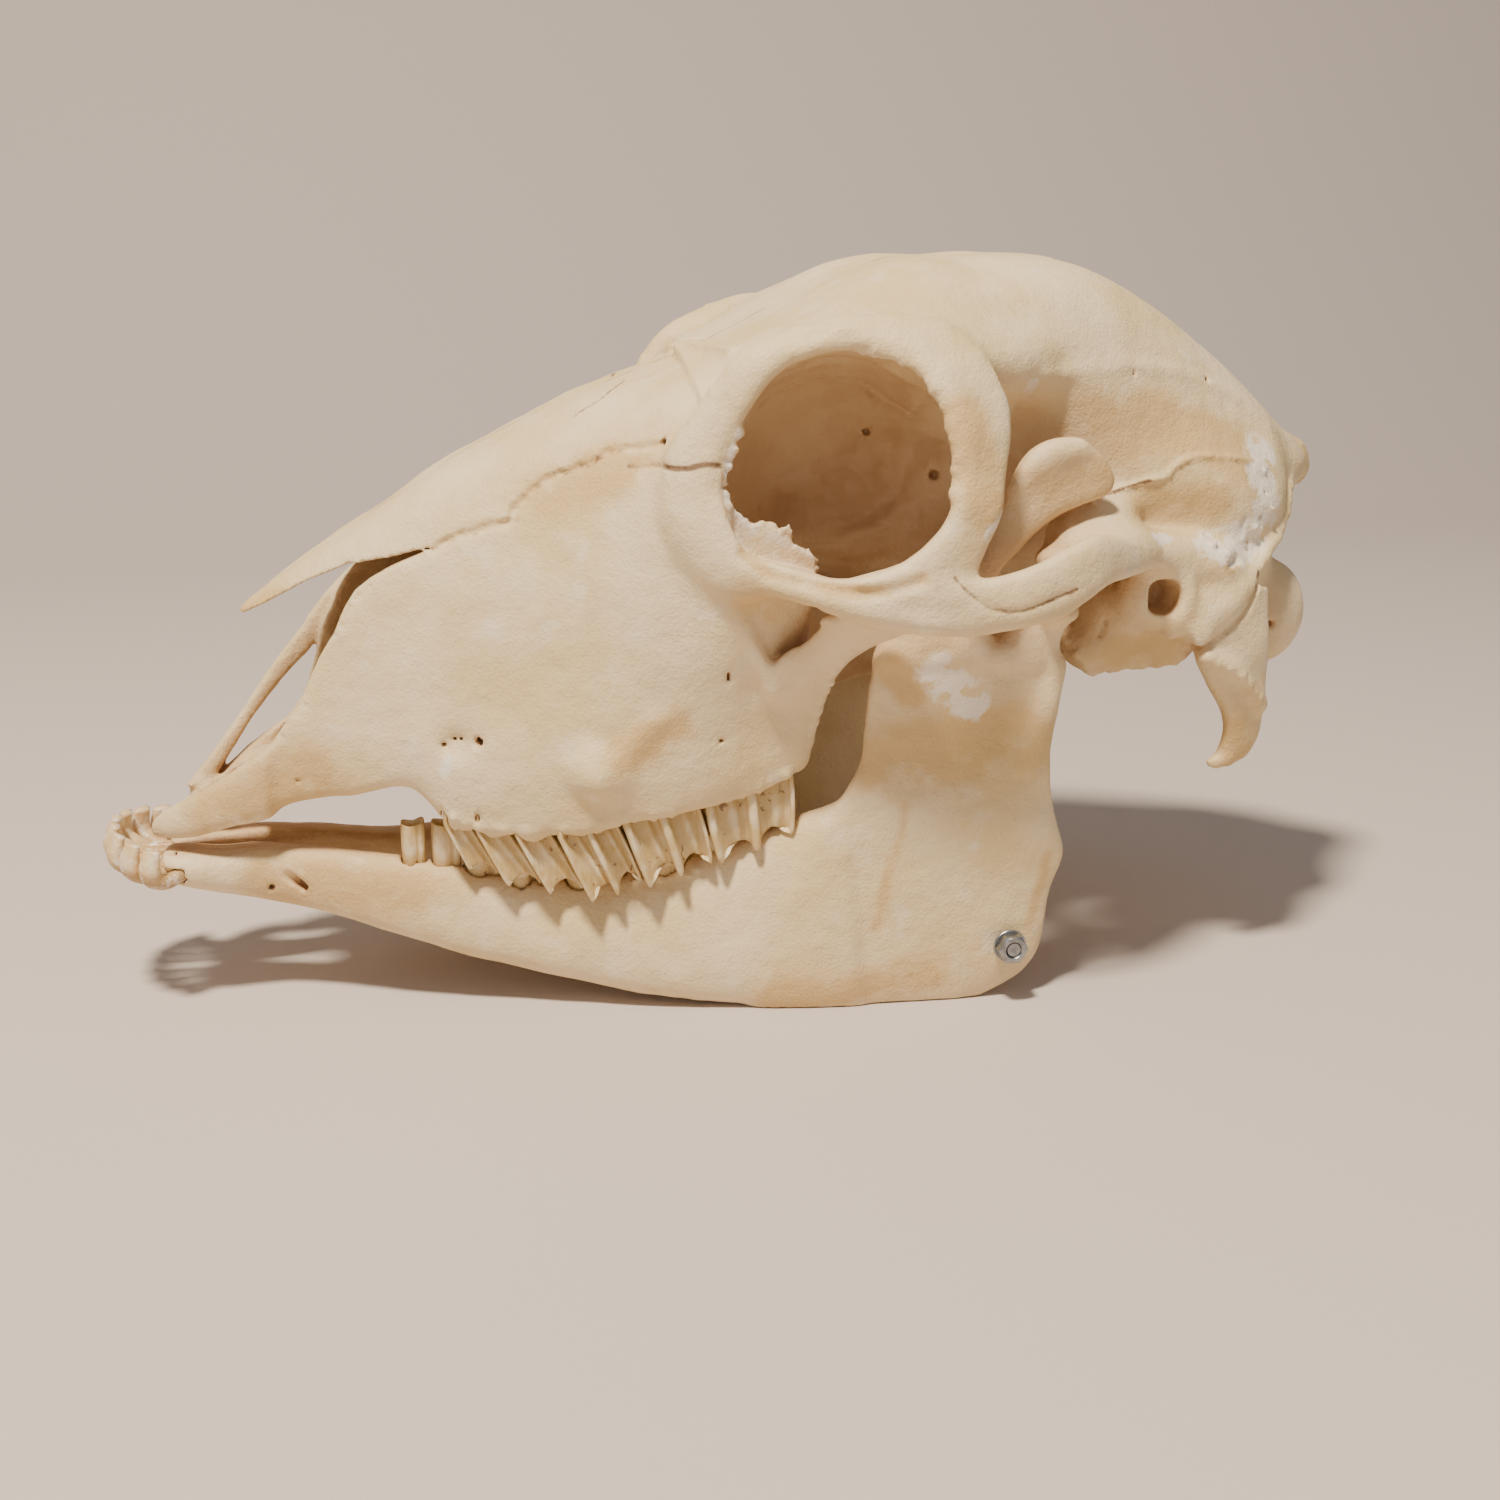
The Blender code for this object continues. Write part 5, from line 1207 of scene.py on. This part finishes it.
# Tan stains, and painted shade in tan under the cheek crest, on the bar behind the eye socket and on the
# bulla
give(skull, "tan_stain_and_shade", nearness(
    spots, (9, [(62, 35, 115), (80, 33, 115), (98, 28, 108)]), (5.5, [(76, 37, 99), (90, 34, 101)]),
    (8, [(64, 27, 76), (72, 28, 70), (84, 30, 72)]), (4.5, [(121, 3, 106), (127, 2, 101)]),
    (5, [(31, 55, 120), (35, 58, 104)]), (9, [(-106, 12, 40), (-90, 15, 48)]),
    (5, [(99, 34, 60), (99, 33, 46)]), (4, [(-104, 3, 77), (-94, 6, 82)]),
    (2.2, [(-12, 41, 106), (-10, 40, 104)]), (1.6, [(3.8, 54, 84.7), (3.8, 53, 84.4)]),
    (2.2, mastoid_pit), (5, [(-20, 42, 60), (-30, 39, 56)]),
    (7, [(-40, 24, 104), (-20, 30, 112)]), (2, SOCKET_FURROW), (4, [(2, 15, 97), (6, 15, 94)]),
    (6, [(2, 50, 78), (-6, 46, 88)]),
))
give(skull, "seam", nearness(
    spots, (0.85, nose_crack), (0.7, lacrimal_crack), (0.5, cheek_suture), (0.45, ledge[:10]), (0.5, MIDLINE),
    (0.4, CORONAL), (0.45, NASAL_BACK), (0.8, mastoid_suture), (0.6, bulla_slit), (0.5, socket_slit),
    (0.6, crest_slit),
))
placed(skull, dry_bone, "cranium")

# ---- Lower jaw ---------------------------------------------------------------------------------------------
# Two long bones that meet only at the chin, each with a flat upright branch, a hooked coronoid process and a
# cross-wise hinge knob. The same dry bone, a little yellower, with open sockets for the teeth.

# Half of the lower jaw: upper edge, lower edge, half thickness
JAW_BODY = [
    (-119.6, 7, 32.4, -117, 6.9, 26, 5.6),
    (-114.5, 7.3, 32.6, -113, 7.2, 24.4, 6.8),
    (-107, 6.8, 32, -106, 6.7, 22.3, 6.1),
    (-98, 7.4, 32, -98, 7.4, 20.4, 4.8),
    (-87, 11, 31.8, -86, 11.5, 17.8, 4.4),
    (-75, 14.8, 30.9, -74, 16.5, 14.4, 4.6),
    (-64, 17, 29.5, -60, 20.5, 9.9, 5.0),
    (-50, 18.6, 26.2, -46, 24, 6.5, 5.6),
    (-36, 21.2, 25.8, -33, 28, 4, 6.0),
    (-22, 24.2, 28.2, -20, 31.5, 1.6, 6.1),
    (-8, 28, 33, -6, 34.5, 0.4, 5.9),
    (4, 32, 38.5, 6, 37, -0.4, 5.2),
    (14, 36, 43, 18, 39, -0.5, 4.4),
]
# Bone lost from the upper edge of the right half, where its first two premolars fell out in life
RIDGE_LOSS = [(-95, 0), (-84, 2.2), (-73, 4.2), (-64, 3), (-57, 0)]
# Upright branch of the jaw: front edge, back edge, half thickness
JAW_BRANCH = [
    (-4, 36, 0.2, 43, 40, -0.2, 2.4),
    (-4, 36, 4.5, 51, 40.4, 4.5, 3.4),
    (-2, 36.2, 10, 54.8, 40.7, 9.5, 3.6),
    (0, 36.4, 16, 56, 40.9, 15, 3.5),
    (3, 36.8, 24, 57, 41.1, 22.5, 3.3),
    (6, 37.2, 33, 59.6, 41.4, 30.8, 3.1),
    (12, 38, 42.5, 57.4, 41.7, 38.6, 3.0),
    (16, 39, 51, 55.8, 42, 48.5, 2.8),
    (16.8, 40, 60, 55.6, 42.6, 60, 2.7),
    (17.7, 41, 68.5, 56, 43.2, 71, 2.7),
    (19.2, 42, 76, 54.8, 43.6, 76.5, 2.8),
]
CORONOID = [
    (18.6, 41.6, 72, 44, 43.4, 73, 2.7),
    (21, 42.4, 78, 41.5, 43.6, 79, 2.6),
    (28, 43.2, 83.5, 41, 43.6, 84, 2.5),
    (34, 43.5, 88.2, 43, 43.7, 89.4, 2.3),
    (38.2, 43.6, 94, 46.8, 43.7, 93.4, 2.3),
    (42.4, 43.5, 101, 51.6, 43.5, 97.4, 2.2),
    (46.4, 43.2, 108, 57.4, 43.2, 100.4, 2.1),
    (50.6, 42.8, 112.8, 62.4, 42.8, 101.6, 2.0),
    (57.4, 42.4, 114.2, 66, 42.4, 103, 1.8),
    (63.4, 42, 111.2, 67.2, 42, 106.2, 1.4),
]
JAW_NECK = [
    (38, 42.8, 71, 54.6, 43.8, 71, 2.8),
    (43, 43.4, 76.5, 55.8, 44.2, 76.5, 3.2),
    (48.5, 44, 81, 57.8, 44.6, 81, 3.6),
]
REST_LEVEL = 0.4  # the lower border is worn flat up to this level
# Raised front edge of the coronoid process, its radii, and the brown streak down the branch
BROW = [(45.4, 43.8, 105.6), (48.1, 44, 109.6), (50.4, 44, 111.6), (53.6, 43.8, 112.6), (58, 43.2, 112.8)]
BROW_RADII = (1.2, 1.9, 2.0, 1.9, 1.3)
BRANCH_STREAK = [(25.4, 42.6, 43.2), (24.9, 42.6, 37.1), (23.6, 42.4, 32.7), (22.3, 42.2, 28.2),
                 (21.3, 42, 23.8), (19.8, 42, 17.6)]


def jaw_half(lost):
    """One half of the jaw on the positive side, its upper edge shrunk where teeth fell out in life."""
    jaw = Bone((-124, -3, -6), (74, 60, 120))
    body = JAW_BODY
    if lost:
        body = [(x, y, z - read(RIDGE_LOSS, x), *rest) for x, y, z, *rest in JAW_BODY]
    for table, ease in ((body, 2), (JAW_BRANCH, 2.5), (CORONOID, 2), (JAW_NECK, 2)):
        jaw.add(blade(table), ease)
    jaw.add(ball((53.6, 44.4, 82), (4.6, 9.2, 3.3)), 2)
    jaw.ease(0.8)
    for centre, radii, height in (
        ((30, 44, 53), (13, 5, 12), -0.9), ((33, 35, 46), (13, 5, 14), -0.7),  # beds of the chewing muscles
        ((27, 45, 68), (6, 5, 8), 0.5), ((60, 46, 106), (6, 4, 4), -0.8), ((50, 45.5, 109), (5, 4, 3.4), 0.8),
        ((43.4, 46, 76.6), (3, 3, 1.8), -1.4),
        ((14, 42, 30), (12, 6, 12), -0.4), ((-40, 33, 16), (26, 6, 5), 0.5), ((49, 45, 12), (6, 6, 7), 0.5),
    ):
        jaw.swell(centre, radii, height)
    jaw.ridge([(x, y, z - 0.6, r) for (x, y, z), r in zip(BROW, BROW_RADII)], 3.0)
    jaw.ridge([(55, 43, 70, 2.2), (53, 43, 60, 2), (50, 42.6, 50, 1.4)], 3)
    for place, towards, radius, deep in (
        ((-95.4, 13.4, 27), (1, -0.5, -0.6), 1.1, 5), ((-93.4, 13.8, 25.6), (1, -0.4, -0.6), 1, 4),
        ((-98.2, 12.1, 24.4), (0, -1, 0), 0.7, 1), ((-116.5, 9.4, 31.8), (0, -1, -0.5), 0.5, 1),
        ((43.4, 46.5, 76.4), (0, -1, -0.2), 0.7, 1), ((28, 35.5, 50), (-0.8, 0.5, -0.8), 2.0, 5),
        ((27.4, 42.4, 6), (0, -1, 0.4), 0.4, 0.8),
    ):
        hole(jaw, place, towards, radius, deep)
    for name, *_ in LOWER_TEETH[2 if lost else 0:]:
        points, faces = teeth["lower", name]
        jaw.cut((points[:, :3], faces), 0.3, 0.3)
    for spec in INCISORS:
        jaw.cut(incisor(spec), 0.3, 0.3)
    seed = 90 if lost else 80
    edge = [((front + back) / 2, outer + 1.4, read(LOWER_NECK, front) + 0.4)
            for _, front, back, _, outer in LOWER_TEETH[2:]]
    rows = [
        (jaw.add, edge, 1.8, 0.7, 0.5, 2, 0.7),
        (jaw.add, [(-119.6, 10.6, 31.6), (-120.4, 6, 33), (-119.8, 1.6, 32)], 1.5, 0.8, 0.5, 3, 0.7),
        (jaw.cut, [(-116, 10, 29), (-106, 10.6, 30), (-90, 14, 29)], 2.4, 0.45, 2, 4, 0.2),
        (jaw.cut, [(-72, 16, 29), (-61, 18, 27.6)], 1.3, 0.8, 1, 5, 0.4),  # healed sockets
    ]
    crumbled(rows if lost else rows[:3], seed)
    jaw.groove([(ROD_X, y, ROD_Z, 1.85) for y in (30, 50)], 0.2)  # the rod passes through here
    jaw.roughen(8.0, 0.12, seed + 6)
    jaw.roughen(2.6, 0.045, seed + 7)
    jaw.cut(slab([(-200, -20), (-200, REST_LEVEL), (200, REST_LEVEL), (200, -20)], -90, 90), 0.2)
    jaw.cut(slab([(-140, -20), (-140, 60), (0, 60), (0, -20)], -5, 0.2), 0.2)
    return skin_of(jaw)


jaws = []
for side, word in ((-1, "left"), (1, "right")):
    made = thinned(mesh_of(f"jaw_half_{word}", *mirrored(jaw_half(side > 0), side)), JAW_FACETS)
    spots = places(made)
    # Chalky patches, and a painted highlight along the coronoid's raised front edge
    give(made, "chalk_and_highlight", nearness(
        spots, (4.6, [(30, 44, 71), (34, 44, 66), (38, 44, 64)]), (1.2, BROW[:3]),
        (1.6, [(43, 46, 77), (44, 46, 76)]),
    ))
    # Tan stains, as the streak down the branch, and painted shade in tan: the cheek arch's shadow across the
    # branch and shade on the coronoid process
    give(made, "tan_stain_and_shade", nearness(
        spots, (1.5, BRANCH_STREAK), (9, [(20, 43, 52), (34, 44, 54), (48, 43, 56)]),
        (5, [(30, 44, 6), (0, 39, 3)]), (6, [(30, 44, 80), (44, 44, 95)]),
        (1.6, [(51.6, 42, 16), (54, 42, 24), (55, 42, 31)]), (4, [(26, 43, 66), (20, 43, 74)]),
        (7, [(50, 44, 103), (64, 43, 107)]), (9, [(-96, 13, 28), (-66, 18, 26)]),
    ))
    give(made, "seam", nearness(
        spots, (0.8, [(-96, 13.4, 27), (-91.5, 14.3, 24)]), (0.9, [(-98.2, 12.6, 24.4), (-98.2, 11, 24)]),
    ))
    placed(made, dry_bone, f"mandible_{word}")
    jaws.append(made)


RAYS = 14
SHELTER_REACH, CLEAR = 0.045, 0.0004  # metres that a ray looks out, and how far off the surface it starts


def shelter(made, tree):
    """How much of each point's view outwards is blocked within a distance, from 0 to 1."""
    count = len(made.data.vertices)
    points, normals = np.empty(count * 3), np.empty(count * 3)
    made.data.vertices.foreach_get("co", points)
    made.data.vertices.foreach_get("normal", normals)
    points, normals = points.reshape(-1, 3), normals.reshape(-1, 3)
    k = np.arange(RAYS) + 0.5
    lift, turn = 1 - 2 * k / RAYS, k * math.pi * (3 - math.sqrt(5))
    flat = np.sqrt(1 - lift**2)
    blocked = np.zeros(count)
    starts = (points + normals * CLEAR).tolist()
    for direction in np.column_stack([flat * np.cos(turn), flat * np.sin(turn), lift]) * 0.96:
        aims = normals + direction
        aims /= np.linalg.norm(aims, axis=1, keepdims=True)
        blocked += [tree.ray_cast(p, a, SHELTER_REACH)[0] is not None for p, a in zip(starts, aims.tolist())]
    return blocked / RAYS


corners, walls = [], []
for made in (skull, *jaws):
    start = len(corners)
    corners += [v.co.copy() for v in made.data.vertices]
    walls += [tuple(start + k for k in face.vertices) for face in made.data.polygons]
around = BVHTree.FromPolygons(corners, walls)
# Painted shade: the share of each point's outward view that bone blocks, which the bone's material paints
# browner
for made in (skull, *jaws):
    give(made, "hollow", shelter(made, around))

# ---- Rod, washers and nuts ---------------------------------------------------------------------------------
# A thin threaded rod through both jaw angles with a washer and a hexagon nut at each end, which holds the two
# halves of the jaw together. Zinc-plated steel, machine made.

ROD_RADIUS, ROD_HALF_LENGTH, PITCH = 1.5, 47.6, 0.5
THREAD_DEPTH = 0.34  # share of the radius; the wave runs from 0 to 0.5, so the groove is 0.26 mm deep
WASHER_RADIUS, WASHER_THICKNESS, NUT_FLATS, NUT_HEIGHT, JAW_FACE = 3.4, 0.6, 5.5, 2.4, 44.6

# Zinc plating on turned steel: a soft grey shine, a little cloudy where it has dulled
zinc, tree, shader, place = surface("zinc_plated_steel", 0.4, Metallic=1.0)
dull = patches(tree, place, 1.5, 0.35, 0.7)
tree.links.new(layered(tree, "a9abac", ("8a8c8e", dull)), shader.inputs["Base Color"])
gloss = node(tree, "ShaderNodeMapRange", value=dull, to_min=0.32, to_max=0.5)
tree.links.new(gloss, shader.inputs["Roughness"])

thread, taken, given = geometry_group("rod_thread", Radius=1.0, Length=1.0, Pitch=1.0, Rows=4)
count = node(thread, "ShaderNodeMath", {"operation": "DIVIDE"}, in_0=taken["Length"], in_1=taken["Pitch"])
count = node(thread, "ShaderNodeMath", {"operation": "MULTIPLY"}, in_0=count, in_1=taken["Rows"])
bar = node(thread, "GeometryNodeMeshCylinder", vertices=20, side_segments=count, fill_segments=1,
           radius=taken["Radius"], depth=taken["Length"])
where = node(thread, "ShaderNodeSeparateXYZ", vector=node(thread, "GeometryNodeInputPosition")).node.outputs
angle = node(thread, "ShaderNodeMath", {"operation": "ARCTAN2"}, in_0=where["Y"], in_1=where["X"])
angle = node(thread, "ShaderNodeMath", {"operation": "DIVIDE"}, in_0=angle, in_1=math.tau)
phase = node(thread, "ShaderNodeMath", {"operation": "DIVIDE"}, in_0=where["Z"], in_1=taken["Pitch"])
phase = node(thread, "ShaderNodeMath", {"operation": "SUBTRACT"}, in_0=phase, in_1=angle)
wave = node(thread, "ShaderNodeMath", {"operation": "PINGPONG"}, in_0=phase, in_1=0.5)
size = node(thread, "ShaderNodeMath", {"operation": "MULTIPLY_ADD"}, in_0=wave, in_1=-THREAD_DEPTH, in_2=1.0)
across = node(thread, "ShaderNodeMath", {"operation": "MULTIPLY"}, in_0=where["X"], in_1=size)
upward = node(thread, "ShaderNodeMath", {"operation": "MULTIPLY"}, in_0=where["Y"], in_1=size)
cut_bar = node(thread, "GeometryNodeSetPosition", geometry=bar,
               position=node(thread, "ShaderNodeCombineXYZ", x=across, y=upward, z=where["Z"]))
centre = (Vector(rod_low) + Vector(rod_high)) / 2
laid = node(thread, "GeometryNodeTransform", geometry=cut_bar, translation=centre,
            rotation=(math.pi / 2, 0, 0))
whole_bar = node(thread, "GeometryNodeRealizeInstances", geometry=laid)
thread.links.new(node(thread, "GeometryNodeSetMaterial", geometry=whole_bar, material=zinc), given)
rod = grown(mesh_of("threaded_bar", np.zeros((1, 3)), []), thread, Radius=ROD_RADIUS * MM,
            Length=2 * ROD_HALF_LENGTH * MM, Pitch=PITCH * MM)
rod.data.materials.clear()
placed(rod, zinc, "threaded_rod")


def turned(section, sides, flats=0):
    """A ring round the rod from a closed section: lateral distance, radius, and whether flats cut into it."""
    rings = []
    for a in np.arange(sides) * math.tau / sides:
        sector = math.tau / max(flats, 1)
        out = math.cos(sector / 2) / math.cos(a % sector - sector / 2) if flats else 1.0
        ring = []
        for y, r, hexagonal in section:
            reach = min(r, NUT_FLATS / 2 / math.cos(math.pi / 6) * out) if hexagonal else r
            ring.append((ROD_X + reach * math.cos(a), y, ROD_Z + reach * math.sin(a)))
        rings.append(ring)
    return loft(rings, closed=True)


bore, corner = ROD_RADIUS + 0.1, NUT_FLATS / 2 / math.cos(math.pi / 6)
inside, outside = JAW_FACE, JAW_FACE + WASHER_THICKNESS
washer = [
    (inside, bore, 0), (outside, bore, 0), (outside, WASHER_RADIUS - 0.12, 0),
    (outside - 0.12, WASHER_RADIUS, 0), (inside + 0.1, WASHER_RADIUS, 0), (inside, WASHER_RADIUS - 0.1, 0),
]
seat, top = outside + 0.05, outside + 0.15 + NUT_HEIGHT
nut = [
    (seat, bore + 0.15, 0), (seat + 0.2, bore, 0), (top - 0.2, bore, 0), (top, bore + 0.2, 0),
    (top, 2.55, 1), (top - 0.35, corner, 1), (seat + 0.35, corner, 1), (seat, 2.6, 1),
]
for side, word in ((-1, "left"), (1, "right")):
    for kind, section, sides, flats in (("washer", washer, 64, 0), ("nut", nut, 72, 6)):
        piece = mesh_of(f"steel_{kind}_{word}", *mirrored(turned(section, sides, flats), side))
        piece.data.set_sharp_from_angle(angle=math.radians(28))
        placed(piece, zinc, f"{kind}_{word}")

# ---- Floor, light and camera -------------------------------------------------------------------------------
# A pale plain sweep, one soft lamp high over the near side of the snout, and the photo's viewing angle.

UNDER_JAW = 0.0001  # the paper lies a hair lower than the jaw
sweep = [(-1.6, 0.0), (0.5, 0.0)] + [
    (0.5 + 0.4 * math.sin(a), 0.4 - 0.4 * math.cos(a)) for a in np.linspace(0.1, math.pi / 2, 14)
] + [(0.9, 2.0)]
mesh = bpy.data.meshes.new("sweep")
rows = [(x, y, z - UNDER_JAW) for y, z in sweep for x in (-2.2, 2.2)]
mesh.from_pydata(rows, [], [(2 * k, 2 * k + 1, 2 * k + 3, 2 * k + 2) for k in range(len(sweep) - 1)])
mesh.shade_smooth()
floor = bpy.data.objects.new("sweep", mesh)
bpy.context.scene.collection.objects.link(floor)
paper, tree, shader, place = surface("pale_studio_paper", 0.9)  # matte paper, which scatters all its light
shader.inputs["Base Color"].default_value = colour("cdc0b4")
floor.data.materials.append(paper)

TARGET = Vector((SHIFT + (3.0, 0.0, 44.0)) * MM)


def lamp(name, towards, distance, size, power, tint):
    """A round area light that shines on the skull from a direction."""
    data = bpy.data.lights.new(name, "AREA")
    data.shape = "DISK"
    data.size = size
    data.energy = power
    data.color = colour(tint)[:3]
    made = bpy.data.objects.new(name, data)
    made.location = TARGET + Vector(towards).normalized() * distance
    made.rotation_euler = Vector(towards).to_track_quat("Z", "Y").to_euler()
    bpy.context.scene.collection.objects.link(made)


lamp("key", (-0.28, -0.385, 1.0), 1.2, 0.16, 26.5, "fff2e2")
lamp("fill", (-0.6, -1.0, 0.45), 1.6, 1.2, 1.2, "fdfaff")
world = bpy.data.worlds.new("room")
bpy.context.scene.world = world
world.use_nodes = True
world.node_tree.nodes["Background"].inputs["Color"].default_value = colour("e1e8f4")
world.node_tree.nodes["Background"].inputs["Strength"].default_value = 0.33

TURN, LIFT, DISTANCE = math.radians(-12), math.radians(15.5), 0.43
back = Vector((math.sin(TURN) * math.cos(LIFT), -math.cos(TURN) * math.cos(LIFT), math.sin(LIFT)))
camera = bpy.data.objects.new("camera", bpy.data.cameras.new("camera"))
camera.data.lens = 48
camera.data.sensor_width = 36
camera.data.clip_start = 0.01
camera.location = TARGET + back * DISTANCE
camera.rotation_euler = back.to_track_quat("Z", "Y").to_euler()
bpy.context.scene.collection.objects.link(camera)
bpy.context.scene.camera = camera
